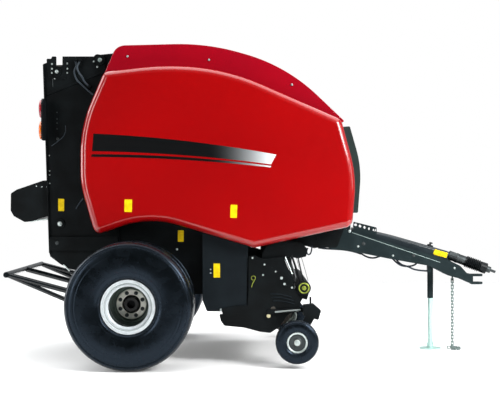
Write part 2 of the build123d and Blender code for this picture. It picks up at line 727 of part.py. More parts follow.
def jack_tube():
    """The jack's outer tube with its crank, clamped to the drawbar's left side."""
    height = JACK_TUBE_TOP - JACK_TUBE_BOTTOM
    middle = (JACK_TUBE_TOP + JACK_TUBE_BOTTOM) / 2
    tube = Pos(JACK_X, JACK_Y, middle) * Cylinder(JACK_TUBE_RADIUS, height)
    bore = Pos(JACK_X, JACK_Y, middle - 12) * Cylinder(JACK_LEG_RADIUS + PIN_FIT, height)
    top = tongue_top(JACK_X)
    clamp = box(JACK_X - 45, JACK_X + 45, TONGUE_HALF_WIDTH, JACK_Y, top - 87, top - 22)
    collar = Pos(JACK_X, JACK_Y, top - 54) * Cylinder(JACK_TUBE_RADIUS + 8, 40)
    crank = Pos(JACK_X, JACK_Y, JACK_TUBE_TOP + 14) * Cylinder(9, 32)
    handle = Pos(JACK_X, JACK_Y - 50, JACK_TUBE_TOP + 26) * Rot(X=90) * Cylinder(7, 118)
    return fuse(tube, clamp, collar, crank, handle) - bore


def jack_leg():
    """The sliding leg and its round foot."""
    leg = Pos(JACK_X, JACK_Y, 300) * Cylinder(JACK_LEG_RADIUS, 584)
    socket = Pos(JACK_X, JACK_Y, 35) * Cylinder(32, 46)
    foot = Pos(JACK_X, JACK_Y, 6) * Cylinder(JACK_FOOT_RADIUS, 12)
    return fuse(leg, socket, foot)


# Pick-up


def pickup_frame():
    """Outer plates, inner arms with pivots, and the tube that joins them."""
    plate = slab(
        [
            (746, 440, 10), (760, 380, 20), (790, 338, 30), (961, 322, 60), (1104, 285, 60),
            (1190, 276, 30), (1275, 330, 40), (1330, 420, 60), (1457, 512, 20), (1448, 573, 20),
            (1400, 655, 20), (1385, 705, 30), (1060, 950, 30), (1002, 940, 20), (1000, 640, 20),
            (990, 440, 20),
        ],
        PICKUP_PLATE_Y, PICKUP_PLATE_Y + PICKUP_PLATE,
    )
    plate = plate - stub(REEL_X, REEL_Z, REEL_SHAFT_RADIUS + PIN_FIT, PICKUP_PLATE_Y - 5, GAUGE_Y)
    arm_y = SHEET_Y - MOVING_GAP - 12
    arm = slab([(850, 520, 30), (850, 610, 30), (1050, 790, 30), (1110, 740, 30), (1060, 620, 40),
                (940, 520, 30)],
               arm_y, arm_y + 12)
    pivot = stub(PICKUP_PIVOT_X, PICKUP_PIVOT_Z, PICKUP_PIN_RADIUS, arm_y, SHEET_Y + SHEET_THICKNESS)
    side = [plate, arm, pivot]
    tube = cross_bar(1072, 745, 35, PICKUP_PLATE_Y)
    return fuse(tube, *side, *[mirrored(piece) for piece in side])


def pickup_bands():
    """The curved stripper bands that the tines pass between, on their rear cross bar."""
    width = TINE_PITCH - 26
    start = REEL_X - 182
    r = BAND_RADIUS
    strip = ribbon(
        [(start, REEL_Z + r), (REEL_X + 0.75 * r, REEL_Z + r), (REEL_X + 1.04 * r, REEL_Z + 0.3 * r),
         (REEL_X + 0.95 * r, REEL_Z - r), (start + 92, REEL_Z - r)],
        [100, 140, 120], 4)
    band = across(strip, width / 2)
    first = -(TINES_PER_BAR / 2 - 1)
    bands = [Pos(0, (first + i) * TINE_PITCH, 0) * band for i in range(TINES_PER_BAR - 1)]
    reach = SHEET_Y - MOVING_GAP - 12 - SEAT
    bar = box(start - 6, start, -reach, reach, REEL_Z + r - 10, REEL_Z + r + 2)
    return fuse(bar, *bands)


def pickup_reel():
    """Shaft, end discs and bars of tines, all turning together."""
    shaft = cross_bar(0, 0, REEL_SHAFT_RADIUS, PICKUP_PLATE_Y + PICKUP_PLATE - SEAT)
    tube = cross_bar(0, 0, 45, 700)
    disc = stub(0, 0, TINE_BAR_CIRCLE + 14, 752, 758)
    bar = Pos(TINE_BAR_CIRCLE, 0, 0) * Box(24, 1504, 24)
    first = -(TINES_PER_BAR - 1) / 2
    inner, tip, half = TINE_BAR_CIRCLE, REEL_RADIUS, TINE_WIRE / 2
    edge = [(inner, half, 0), (inner + 54, half, 40), (tip - 1, TINE_SWEEP + half - 1, 0),
            (tip - 3, TINE_SWEEP - half - 1, 0), (inner + 57, -half, 40), (inner, -half, 0)]
    tine = across(edge, TINE_WIRE / 2)
    tines = [Pos(0, (first + i) * TINE_PITCH, 0) * tine for i in range(TINES_PER_BAR)]
    row = fuse(bar, *tines)
    rows = [Rot(Y=i * 360 / TINE_BARS) * row for i in range(TINE_BARS)]
    return Pos(REEL_X, 0, REEL_Z) * fuse(shaft, tube, disc, mirrored(disc), *rows)


def gauge_arm():
    """The bar and leg that hold a gauge wheel beside the pick-up."""
    face_y = PICKUP_PLATE_Y + PICKUP_PLATE
    inner_y = GAUGE_Y - GAUGE_WIDTH / 2 - 30
    bar = slab([(1165, 440, 8), (1165, 478, 8), (1480, 500, 0), (1480, 462, 0)], face_y, face_y + 30)
    bracket = slab([(1470, 525, 8), (1560, 535, 10), (1624, 480, 10), (1600, 400, 10),
                    (1470, 440, 8)], face_y, inner_y + 12)
    finger = box(1530, 1545, -face_y - 30, -face_y, 520, 590)
    leg = slab([(1500, 470, 20), (1600, 470, 20), (1440, 200, 24), (1385, 200, 24)], inner_y, inner_y + 12)
    axle = stub(GAUGE_X, GAUGE_Z, GAUGE_AXLE_RADIUS, inner_y, GAUGE_Y + GAUGE_WIDTH / 2 - 30)
    return fuse(bar, bracket, finger, leg, axle)


def gauge_wheel():
    """The small tyre, its ribs left to the tread."""
    half = GAUGE_WIDTH / 2
    seat = GAUGE_RIM_RADIUS + SEAT
    side = [(seat, half - 14), (seat + 12, half - 6), (0.8 * GAUGE_RADIUS, half),
            (0.95 * GAUGE_RADIUS, half - 14), (GAUGE_RADIUS, half - 36)]
    other = [(radius, -out) for radius, out in reversed(side)]
    return turned(side + other, GAUGE_X, GAUGE_Y, GAUGE_Z)


def gauge_rim():
    """The small pressed rim with its hub."""
    half = GAUGE_WIDTH / 2
    bore = GAUGE_AXLE_RADIUS + PIN_FIT
    profile = [
        (bore, -half + 12), (26, -half + 12), (26, -6), (GAUGE_RIM_RADIUS - 5, -6),
        (GAUGE_RIM_RADIUS - 5, -half + 14), (GAUGE_RIM_RADIUS, -half + 14), (GAUGE_RIM_RADIUS, half - 14),
        (GAUGE_RIM_RADIUS - 5, half - 14), (GAUGE_RIM_RADIUS - 5, 0), (26, 0), (26, half - 12),
        (bore, half - 12),
    ]
    return turned(profile, GAUGE_X, GAUGE_Y, GAUGE_Z)


# Windguard


def windguard():
    """Two arms and a top tube ahead of the pick-up."""
    arm = slab([(1110, 890, 20), (1370, 985, 20), (1412, 950, 20), (1520, 660, 20), (1460, 640, 20),
                (1350, 880, 40), (1130, 840, 20)], WINDGUARD_ARM_Y, WINDGUARD_ARM_Y + 8)
    pin = stub(WINDGUARD_PIVOT_X, WINDGUARD_PIVOT_Z, 12, WINDGUARD_ARM_Y, PICKUP_PLATE_Y)
    axle = stub(GUARD_ROLLER_X, GUARD_ROLLER_Z, 12, 800, WINDGUARD_ARM_Y)
    tube = cross_bar(WINDGUARD_TUBE_X, WINDGUARD_TUBE_Z, WINDGUARD_TUBE_RADIUS, WINDGUARD_ARM_Y)
    side = [arm, pin, axle]
    return fuse(tube, *side, *[mirrored(piece) for piece in side])


def windguard_tines():
    """Thin bent rods that hang from the top tube behind the roller."""
    x = WINDGUARD_TUBE_X
    top = WINDGUARD_TUBE_Z - WINDGUARD_TUBE_RADIUS - SEAT
    points = [(x, 0, top), (x, 0, top - 50), (GUARD_ROLLER_X - 66, 0, GUARD_ROLLER_Z + 88),
              (GUARD_ROLLER_X - 80, 0, GUARD_ROLLER_Z - 20)]
    rod = tube_along(points, 50, WINDGUARD_TINE_RADIUS)
    first = -(WINDGUARD_TINES - 1) / 2
    return Compound([Pos(0, (first + i) * WINDGUARD_TINE_PITCH, 0) * rod for i in range(WINDGUARD_TINES)])


def guard_roller():
    """The roller that presses the crop, with its end discs."""
    roll = cross_bar(GUARD_ROLLER_X, GUARD_ROLLER_Z, GUARD_ROLLER_RADIUS, 850)
    bore = cross_bar(GUARD_ROLLER_X, GUARD_ROLLER_Z, 12 + PIN_FIT, 900)
    return roll - bore


# Tailgate

GATE_OUTLINE = [
    (-805, 2626, 4), (-751, 961, 10), (-743, 933, 10), (-656, 867, 20), (-579, 824, 20),
    (-300, 770, 100), (-112, 800, 30), (-258, 2600, 30), (-255, 2700, 40), (-340, 2715, 30),
    (-360, 2693, 10), (-636, 2693, 4), (-636, 2604, 4), (-690, 2604, 4), (-690, 2693, 10),
    (-728, 2693, 10), (-745, 2650, 20),
]


def gate_sheet():
    """The swinging side sheet: folded rear edge, brace, rail, bearings and the cylinder's boss."""
    inner, outer = GATE_SHEET_Y, GATE_SHEET_Y + SHEET_THICKNESS
    sheet = slab(GATE_OUTLINE, inner, outer)
    brace = slab([(-768, 2350, 0), (-768, 2366, 0), (-262, 2570, 0), (-262, 2554, 0)],
                 inner, outer + GATE_BRACE)
    rail = slab([(-742, 986, 6), (-742, 1105, 6), (-150, 1105, 6), (-150, 986, 6)], inner, outer + GATE_RAIL)
    carrier = slab([(-762, 2506, 10), (-776, 2672, 10), (-600, 2672, 10), (-600, 2490, 10)],
                   outer - 2, outer + 6)
    notch = slab([(-690, 2800, 0), (-690, 2604, 4), (-636, 2604, 4), (-636, 2800, 0)], inner, outer + 10)
    housings = bearings(GATE_ROLLS[:2], outer)
    fold = slab([(-805, 2620, 0), (-751, 965, 0), (-743, 965, 0), (-797, 2620, 0)], inner,
                outer + GATE_FOLD)
    boss = stub(CYLINDER_EYE_X, CYLINDER_EYE_Z, 28, inner, CYLINDER_Y - BARREL_RADIUS - 4)
    hole = stub(HINGE_X, HINGE_Z, HINGE_PIN_RADIUS + PIN_FIT, inner - 10, outer + 10)
    return fuse(sheet, fold, boss, brace, rail, carrier - notch, *housings) - hole


# Routes of the two hoses down the right-hand sheet, as X, Z points from port to port
GATE_HOSE_ROUTES = (
    [(-518, 2644), (-506, 2610), (-533, 2560), (-513, 2487), (-434, 2415), (-362, 2352)],
    [(-480, 2642), (-502, 2596), (-494, 2556), (-462, 2516), (-436, 2462), (-404, 2432)],
)


def gate_ports():
    """Ports on the right-hand sheet, a seat's clearance beyond each hose's end."""
    outer = GATE_SHEET_Y + SHEET_THICKNESS
    reach = outer + GATE_BRACE + 4 * GATE_HOSE_RADIUS + 7
    away = GATE_PORT_RADIUS + SEAT
    ports = []
    for route in GATE_HOSE_ROUTES:
        for (x, z), (from_x, from_z) in ((route[0], route[1]), (route[-1], route[-2])):
            bearing = math.atan2(z - from_z, x - from_x)
            place = (x + away * math.cos(bearing), z + away * math.sin(bearing))
            ports.append(stub(*place, GATE_PORT_RADIUS, outer - 2, reach))
    return ports


def gate_beams():
    """Channels across the tailgate's rear, between its side sheets."""
    bars = []
    for x, z, height in ((-788, 2380, 90), (-776, 1760, 90), (-754, 1080, 90)):
        bars.append(box(x, x + 22, -GATE_SHEET_Y, GATE_SHEET_Y, z - height / 2, z + height / 2))
    return Compound(children=bars)


def tail_lamps():
    """The black carrier of two round lamps, beside the sheet's fold."""
    fold_edge = GATE_SHEET_Y + SHEET_THICKNESS + GATE_FOLD + SEAT
    back = box(LAMP_FACE_X, LAMP_FACE_X + 36, -LAMP_Y - 88, -fold_edge, 1945, 2315)
    rims = [lamp_place(z) * Pos(0, 0, -4) * Cylinder(LAMP_RADIUS + 5, 12) for z in LAMP_HEIGHTS]
    cups = [lamp_place(z) * Pos(0, 0, 8) * Cylinder(LAMP_RADIUS + SEAT, 16) for z in LAMP_HEIGHTS]
    return fuse(back, *rims) - Compound(cups)


def lamp_place(z):
    """The middle of a lamp's face, its Z axis pointing to the rear."""
    return Pos(LAMP_FACE_X, -LAMP_Y, z) * Rot(Y=-90)


def lamp_lenses():
    """The red and the amber lens, each a cap of a ball on a short drum."""
    rise = LAMP_DEPTH - LAMP_DRUM
    ball = (LAMP_RADIUS ** 2 + rise ** 2) / (2 * rise)
    lens = Pos(0, 0, LAMP_DEPTH / 2) * Cylinder(LAMP_RADIUS, LAMP_DEPTH)
    lens = lens & Pos(0, 0, LAMP_DEPTH - ball) * Sphere(ball)
    return Compound([lamp_place(z) * lens for z in LAMP_HEIGHTS])


NET_BOX_OUTLINE = [
    (-764, 1604, 0), (-810, 1601, 10), (-1040, 1522, 10), (-1092, 1488, 20), (-1094, 1338, 20),
    (-1066, 1288, 20), (-971, 1236, 20), (-922, 1240, 20), (-764, 1288, 0),
]


def net_box():
    """The wrap box across the tailgate, its mouth between two cheeks that carry the lid."""
    reach = NET_BOX_HALF_WIDTH - NET_BOX_WALL
    mouth = [(-786, 1660, 0), (-786, 1574, 0), (-1030, 1492, 0), (-1074, 1466, 0), (-1074, 1396, 0),
             (-1130, 1396, 0), (-1130, 1660, 0)]
    body = across(NET_BOX_OUTLINE, NET_BOX_HALF_WIDTH)
    body = body - across(inset(NET_BOX_OUTLINE, NET_BOX_WALL), reach) - across(mouth, reach)
    pin = stub(NET_LID_X, NET_LID_Z, NET_LID_PIN_RADIUS, reach - 20, reach + NET_BOX_WALL / 2)
    return fuse(body, pin, mirrored(pin))


def net_lid():
    """The box's sloping lid with the rolled edge that turns on the cheeks' pins."""
    half = NET_BOX_HALF_WIDTH - NET_BOX_WALL - NET_LID_GAP
    path = [(NET_LID_X, NET_LID_Z + 4), (-1038, 1513), (-1087, 1481), (-1089, 1402)]
    edge = cross_bar(NET_LID_X, NET_LID_Z, NET_LID_PIN_RADIUS + 4, half)
    bore = cross_bar(NET_LID_X, NET_LID_Z, NET_LID_PIN_RADIUS + PIN_FIT, half + 1)
    return fuse(across(ribbon(path, [60, 20], 3), half), edge) - bore


def barrel_place():
    """The cylinder's base, its Z axis pointing at the tailgate's eye."""
    rise = math.degrees(math.atan2(CYLINDER_EYE_Z - CYLINDER_BASE_Z, CYLINDER_EYE_X - CYLINDER_BASE_X))
    return Pos(CYLINDER_BASE_X, -CYLINDER_Y, CYLINDER_BASE_Z) * Rot(Y=90 - rise)


CLOSED_LENGTH = math.hypot(CYLINDER_EYE_X - CYLINDER_BASE_X, CYLINDER_EYE_Z - CYLINDER_BASE_Z)
BARREL_LENGTH = CLOSED_LENGTH - 130


def gate_barrel():
    """The lift cylinder's barrel with the eye that turns on the frame's pin."""
    start = 30
    barrel = Pos(0, 0, (start + BARREL_LENGTH) / 2) * Cylinder(BARREL_RADIUS, BARREL_LENGTH - start)
    eye = Rot(X=90) * Cylinder(42, 2 * BARREL_RADIUS - 4)
    pin = Rot(X=90) * Cylinder(ROD_RADIUS + PIN_FIT, 100)
    bore = Pos(0, 0, 80 + BARREL_LENGTH / 2) * Cylinder(ROD_RADIUS + PIN_FIT, BARREL_LENGTH)
    return barrel_place() * (fuse(barrel, eye) - pin - bore)


def gate_rod():
    """The polished rod with its eye, beside the tailgate's boss."""
    start = 90
    rod = Pos(0, 0, (start + CLOSED_LENGTH) / 2) * Cylinder(ROD_RADIUS, CLOSED_LENGTH - start)
    eye = Pos(0, 0, CLOSED_LENGTH) * Rot(X=90) * Cylinder(38, 50)
    return barrel_place() * fuse(rod, eye)


# Bale ramp


def bale_ramp():
    """The tube frame that a bale rolls down: bent side arms with a brace each, and a middle arm."""
    bars = [(RAMP_BAR_X, RAMP_BAR_Z), (RAMP_TIE_X, RAMP_TIE_Z), (RAMP_PIVOT_X, RAMP_PIVOT_Z)]
    across_all = [cross_bar(x, z, RAMP_TUBE_RADIUS, RAMP_ARM_Y + RAMP_TUBE_RADIUS) for x, z in bars]
    arm = tube_along([(x, 0, z) for x, z in bars], RAMP_BEND, RAMP_ARM_RADIUS)
    low = [(RAMP_BAR_X, 0, RAMP_BAR_Z), (RAMP_BRACE_X, 0, RAMP_BRACE_Z), (RAMP_PIVOT_X, 0, RAMP_PIVOT_Z)]
    brace = tube_along(low, RAMP_BEND, RAMP_BRACE_RADIUS)
    ends = [Pos(0, side * RAMP_ARM_Y, 0) * piece for side in (-1, 1) for piece in (arm, brace)]
    return fuse(*across_all, arm, *ends)


def safety_chain():
    """Interlocked links hung from the drawbar's eye, the last ones lying in an arc on the floor."""
    half_wire = CHAIN_WIRE / 2
    link = Box(CHAIN_WIDTH, CHAIN_WIRE, CHAIN_LENGTH) - Box(
        CHAIN_WIDTH - 2 * CHAIN_WIRE, 2 * CHAIN_WIRE, CHAIN_LENGTH - 2 * CHAIN_WIRE
    )
    pitch = CHAIN_LENGTH - 2 * CHAIN_WIRE - SEAT
    pieces = []
    for i in range(CHAIN_HANGING):
        place = Pos(CHAIN_X, 0, CHAIN_TOP - i * pitch) * Rot(Z=90 * (i % 2))
        pieces.append(place * link)
    x, y = CHAIN_X - half_wire - SEAT, 0
    z = CHAIN_TOP - (CHAIN_HANGING - 1) * pitch - CHAIN_LENGTH / 2 + half_wire
    rest = CHAIN_WIDTH / 2 + SEAT
    for i in range(CHAIN_LYING):
        heading = i * CHAIN_TURN
        step_x = pitch * math.cos(math.radians(heading))
        step_y = pitch * math.sin(math.radians(heading))
        place = Pos(x + step_x / 2, y + step_y / 2, z) * Rot(Z=heading) * Rot(Y=90) * Rot(Z=90 * (i % 2))
        pieces.append(place * link)
        x, y, z = x + step_x, y + step_y, max(z - 1.2, rest)
    return Compound(children=pieces)


# Hoses that clips hold all the way, as the X, Z points of each route


def hose(route, y, radius):
    """A hose in one upright plane, each bend as wide as its two runs allow."""
    lengths = [math.dist(a, b) for a, b in zip(route, route[1:])]
    bearings_of = [math.atan2(b[1] - a[1], b[0] - a[0]) for a, b in zip(route, route[1:])]
    radii = []
    for run, after, a, b in zip(lengths, lengths[1:], bearings_of, bearings_of[1:]):
        turn = abs(math.remainder(b - a, 2 * math.pi))
        radii.append(0.45 * min(run, after) / math.tan(turn / 2))
    path = FilletPolyline(*[(x, y, z) for x, z in route], radius=radii)
    return sweep(Plane(path @ 0, z_dir=path % 0) * Circle(radius), path=path)


def drawbar_hoses():
    """Two hydraulic hoses from the front beam along the drawbar's underside to their block."""
    top = FRONT_BEAM_Z - FRONT_BEAM / 2 - SEAT
    end = HOSE_BLOCK_X - SEAT
    routes = (
        [(1690, top), (1690, 984), (1735, 946), (1850, 944), (1950, 926), (2050, 912), (2160, 884),
         (2270, 872), (2345, 856), (2420, 830), (2495, 808), (2575, 811), (2630, 792), (end, 792)],
        [(1712, top), (1712, 990), (1755, 936), (1860, 930), (1960, 920), (2060, 904), (2180, 892),
         (2300, 866), (2400, 846), (2470, 815), (2540, 786), (2610, 764), (end, 764)],
    )
    return Compound([hose(route, y, HOSE_RADIUS) for route, y in zip(routes, (-64, -38))])


def gate_hoses():
    """Two light hoses down the right-hand tailgate sheet, crossing once, between their ports."""
    first = GATE_SHEET_Y + SHEET_THICKNESS + GATE_BRACE + 2 + GATE_HOSE_RADIUS
    second = first + 2 * GATE_HOSE_RADIUS + 1
    planes = (-first, -second)
    return Compound([hose(route, y, GATE_HOSE_RADIUS) for route, y in zip(GATE_HOSE_ROUTES, planes)])


os.makedirs("parts", exist_ok=True)
write_pair("tyre", tyre())
write_pair("rim", rim())
write("axle", main_frame())
write("front_beam", beam(FRONT_BEAM_X, FRONT_BEAM_Z, FRONT_BEAM))
write("lower_beam", beam(LOWER_BEAM_X, LOWER_BEAM_Z, LOWER_BEAM))
write("top_tie", top_tie())
write_pair("frame_sheet", frame_sheet())
write("front_rolls", rolls(FRONT_ROLLS, ROLL_RADIUS, SHEET_Y))
write("floor_rolls", rolls(FLOOR_ROLLS, FLOOR_ROLL_RADIUS, SHEET_Y))
write("front_belts", belts(guides((-235, 2608), FRONT_ROLLS, (1240, 1400))))
write_pair("side_shield", side_shield())
write_pair("upper_panel", upper_panel())
write("front_cover", front_cover())
write_pair("drive_cover", drive_cover())
write("tongue", tongue())
write("gearbox", gearbox())
write("hitch_clevis", hitch_clevis())
write("driveline_guard", driveline_guard())
write("shaft_guard", shaft_guard())
write("shaft_yoke", shaft_yoke())
write("jack_tube", jack_tube())
write("jack_leg", jack_leg())
write("safety_chain", safety_chain())
write("drawbar_hoses", drawbar_hoses())
write("pickup_frame", pickup_frame())
write("pickup_bands", pickup_bands())
write("pickup_reel", pickup_reel())
write_pair("gauge_arm", gauge_arm())
write_pair("gauge_wheel", gauge_wheel())
write_pair("gauge_rim", gauge_rim())
write("windguard", windguard())
write("windguard_tines", windguard_tines())
write("guard_roller", guard_roller())
write("gate_sheet_right", fuse(gate_sheet(), *gate_ports()))
write("gate_sheet_left", mirrored(gate_sheet()))
write("gate_hoses", gate_hoses())
write("gate_beams", gate_beams())
write("gate_rolls", rolls(GATE_ROLLS, ROLL_RADIUS, GATE_SHEET_Y))
write("gate_belts", belts(guides((-190, 838), GATE_ROLLS[::-1], (-262, 2620))))
write_pair("tail_lamps", tail_lamps())
write_pair("lamp_lenses", lamp_lenses())
write("net_box", net_box())
write("net_lid", net_lid())
write_pair("gate_barrel", gate_barrel())
write_pair("gate_rod", gate_rod())
write("bale_ramp", bale_ramp())
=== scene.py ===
"""A trailed round baler: finishes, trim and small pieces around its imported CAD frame."""
import math

import bmesh
import bpy
import numpy as np
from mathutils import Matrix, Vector


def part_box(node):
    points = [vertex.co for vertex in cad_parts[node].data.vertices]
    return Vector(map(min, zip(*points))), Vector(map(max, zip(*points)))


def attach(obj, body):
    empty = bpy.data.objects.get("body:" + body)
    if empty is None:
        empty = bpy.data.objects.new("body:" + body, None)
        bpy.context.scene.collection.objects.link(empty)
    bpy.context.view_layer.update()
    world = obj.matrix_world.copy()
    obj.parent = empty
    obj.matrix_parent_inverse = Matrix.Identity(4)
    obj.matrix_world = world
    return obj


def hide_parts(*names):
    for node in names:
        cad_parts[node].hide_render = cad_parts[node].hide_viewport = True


bl_info = {
    "name": "Round Baler",
    "version": (1, 0, 0),
    "blender": (4, 5, 0),
    "location": "3D View > Sidebar > Baler",
    "description": "Finishes, trim and small pieces of a trailed round baler",
    "category": "Object",
}

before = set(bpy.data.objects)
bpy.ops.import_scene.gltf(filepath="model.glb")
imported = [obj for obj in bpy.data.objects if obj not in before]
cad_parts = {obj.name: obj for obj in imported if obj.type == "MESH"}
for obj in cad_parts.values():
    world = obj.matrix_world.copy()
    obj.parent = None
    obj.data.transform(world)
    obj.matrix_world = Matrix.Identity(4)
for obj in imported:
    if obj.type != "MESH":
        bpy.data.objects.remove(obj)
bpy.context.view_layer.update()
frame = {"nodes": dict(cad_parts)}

# The camera of the photograph, in its own pixels and in metres from the wheel axle
PHOTO_WIDTH = 500
PHOTO_HEIGHT = 400
PHOTO_FOCAL = 1150
CAMERA_FORWARD = 1.0135
CAMERA_AWAY = 10.92
CAMERA_HEIGHT = 1.43

SIDES = ("right", "left")

# Wheels and rollers, from the frame
TYRE_LOW, TYRE_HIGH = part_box("tyre_right")
TYRE_MIDDLE = (TYRE_LOW + TYRE_HIGH) / 2
TYRE_RADIUS = (TYRE_HIGH.z - TYRE_LOW.z) / 2
RIM_FACE = -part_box("rim_right")[0].y
GAUGE_LOW, GAUGE_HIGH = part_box("gauge_wheel_right")
GAUGE_MIDDLE = (GAUGE_LOW + GAUGE_HIGH) / 2
GAUGE_RIM_FACE = -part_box("gauge_rim_right")[0].y
ROLLER_LOW, ROLLER_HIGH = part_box("guard_roller")
ROLLER_MIDDLE = (ROLLER_LOW + ROLLER_HIGH) / 2
# The windguard's cross tube: X and Z from the axle, and its radius
GUARD_TUBE = (1.378, 0.952, 0.020)

# How far out the faces lie that trim sits on
SHIELD_FACE = -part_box("side_shield_right")[0].y
PANEL_BOLT_FACE = -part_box("upper_panel_right")[0].y
COVER_FACE = -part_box("drive_cover_right")[0].y
PICKUP_FACE = -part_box("pickup_frame")[0].y
TONGUE_FACE = -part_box("tongue")[0].y
NET_BOX_FACE = -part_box("net_box")[0].y
GUARD_FACE = -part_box("driveline_guard")[0].y
SHEET_FACE = -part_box("frame_sheet_right")[0].y - 0.168
GATE_FACE = NET_BOX_FACE + 0.0083
GATE_RAIL_FACE = GATE_FACE + 0.032
GATE_CAP_FACE = GATE_FACE + 0.028
HINGE_FACE = GATE_FACE + 0.018
DISC_FACE = -TYRE_MIDDLE.y - 0.087
GUARD_ARM_FACE = 0.893
GAUGE_BAR_FACE = PICKUP_FACE + 0.033

# The power shaft's line
SHAFT_START = (2.880, 0.915)
SHAFT_TILT = math.radians(20)


def from_axle(x, y, z):
    """A point given in metres from the axle, in the frame's own coordinates."""
    return np.array((TYRE_MIDDLE.x + x, y, z))


def photo_point(column, row, out):
    """Where the line of sight through a pixel of the photograph meets the plane this far out."""
    scale = PHOTO_FOCAL / (CAMERA_AWAY - out)
    x = CAMERA_FORWARD + (column - PHOTO_WIDTH / 2) / scale
    z = CAMERA_HEIGHT - (row - PHOTO_HEIGHT / 2) / scale
    return from_axle(x, -out, z)


# Surfaces as arrays


def full_turn(steps):
    """Angles evenly spaced round a full turn, the last one short of the first."""
    return np.linspace(0, 2 * math.pi, steps, endpoint=False)


def stacked(rings, wrap=False):
    """A closed surface over rings of points: quads between neighbouring rings, a flat end on each."""
    rings = np.asarray(rings, float)
    index = np.arange(rings.shape[0] * rings.shape[1]).reshape(rings.shape[:2])
    beside = np.roll(index, -1, axis=1)
    if wrap:
        low, high = index, np.roll(index, -1, axis=0)
        low_beside, high_beside = beside, np.roll(beside, -1, axis=0)
    else:
        low, high, low_beside, high_beside = index[:-1], index[1:], beside[:-1], beside[1:]
    quads = np.stack([low, low_beside, high_beside, high], axis=-1).reshape(-1, 4).tolist()
    ends = [] if wrap else [index[0, ::-1].tolist(), index[-1].tolist()]
    return rings.reshape(-1, 3), quads + ends


def square_to(direction):
    """Two unit vectors square to each direction and to each other."""
    direction = np.atleast_2d(np.asarray(direction, float))
    direction = direction / np.linalg.norm(direction, axis=1, keepdims=True)
    # Any vector does that doesn't run nearly the same way: Y, or X where the first direction is nearly Y
    helper = (0.0, 1.0, 0.0) if abs(direction[0, 1]) < 0.9 else (1.0, 0.0, 0.0)
    side = np.cross(np.array(helper), direction)
    side = side / np.linalg.norm(side, axis=1, keepdims=True)
    return side, np.cross(direction, side)


def lathe(profile, middle, axis=(0, -1, 0), steps=48, wrap=False):
    """Rows of radius and height along an axis, each turned into a circle about it."""
    profile = np.asarray(profile, float)
    axis = np.asarray(axis, float) / np.linalg.norm(axis)
    side, up = (vector[0] for vector in square_to(axis))
    angle = full_turn(steps)
    circle = np.cos(angle)[:, None] * side + np.sin(angle)[:, None] * up
    rings = np.asarray(middle, float) + profile[:, 1, None, None] * axis + profile[:, 0, None, None] * circle
    return stacked(rings, wrap)


def tube(path, radius, steps=10):
    """A circle carried along a path, square to it at each point."""
    path = np.asarray(path, float)
    side, up = square_to(np.gradient(path, axis=0))
    angle = full_turn(steps)[None, :, None]
    radius = np.broadcast_to(np.asarray(radius, float), len(path))[:, None, None]
    rings = path[:, None, :] + radius * (np.cos(angle) * side[:, None] + np.sin(angle) * up[:, None])
    return stacked(rings)


def rounded(points, per_span=6):
    """A run of points as a smooth curve: each span is a parabola between the middles of two runs."""
    points = np.asarray(points, float)
    middles = (points[:-1] + points[1:]) / 2
    start, end = middles[:-1].copy(), middles[1:].copy()
    start[0], end[-1] = points[0], points[-1]
    t = np.linspace(0, 1, per_span, endpoint=False)[None, :, None]
    starts, knees, ends = start[:, None], points[1:-1][:, None], end[:, None]
    curve = (1 - t) ** 2 * starts + 2 * t * (1 - t) * knees + t ** 2 * ends
    return np.vstack([curve.reshape(-1, points.shape[1]), points[-1:]])


def bowed(start, through, end, count=24):
    """Points on the parabola that passes through three points, the second one half way along."""
    start, through, end = (np.asarray(point, float) for point in (start, through, end))
    knee = 2 * through - (start + end) / 2
    t = np.linspace(0, 1, count)[:, None]
    return (1 - t) ** 2 * start + 2 * t * (1 - t) * knee + t ** 2 * end


def ribbon(low, high, out_low, out_high):
    """A right-hand strip between two lines of X and Z, from one distance out to another."""
    rows = [(low, out_low), (low, out_high), (high, out_high), (high, out_low)]
    rings = [np.column_stack([line[:, 0], np.full(len(line), -out), line[:, 1]]) for line, out in rows]
    return stacked(np.stack(rings, axis=1))


def rounded_rectangle(middle, width, height, corner, tilt=0.0, steps=5):
    """An outline of four quarter circles about a middle, turned by a tilt."""
    angle = np.linspace(0, math.pi / 2, steps)
    arc = corner * np.column_stack([np.cos(angle), np.sin(angle)])
    x, z = width / 2 - corner, height / 2 - corner
    top_right, top_left = arc + (x, z), (arc * (-1, 1))[::-1] + (-x, z)
    low_left, low_right = -arc + (-x, -z), (arc * (1, -1))[::-1] + (x, -z)
    points = np.vstack([top_right, top_left, low_left, low_right])
    turn = np.array([[math.cos(tilt), -math.sin(tilt)], [math.sin(tilt), math.cos(tilt)]])
    return points @ turn.T + np.asarray(middle)


def slab(outline, out_low, out_high, bevel):
    """A right-hand plate: an outline in X and Z, carried outwards, its outer edge bevelled."""
    outline = np.asarray(outline, float)
    middle = (outline.min(0) + outline.max(0)) / 2
    half = (outline.max(0) - outline.min(0)) / 2
    small = middle + (outline - middle) * (half - bevel) / half
    rows = ((outline, out_low), (outline, out_high - bevel), (small, out_high))
    rings = [np.column_stack([edge[:, 0], np.full(len(edge), -out), edge[:, 1]]) for edge, out in rows]
    return stacked(rings)


def hexagon_head(height=0.62, steps=12):
    """A bolt head of radius 1 on its washer, facing right: round rings, then rings cut to a hexagon."""
    angle = full_turn(steps)
    hexagon = math.cos(math.pi / 6) / np.cos(np.mod(angle, math.pi / 3) - math.pi / 6)
    washer, crown = np.full(steps, 1.4), np.full(steps, 0.8)
    rows = ((washer, -0.2), (washer, 0.14), (hexagon, 0.16), (hexagon, height), (crown, height + 0.08))
    rings = [np.column_stack([r * np.cos(angle), np.full(steps, -out), r * np.sin(angle)]) for r, out in rows]
    return stacked(rings)


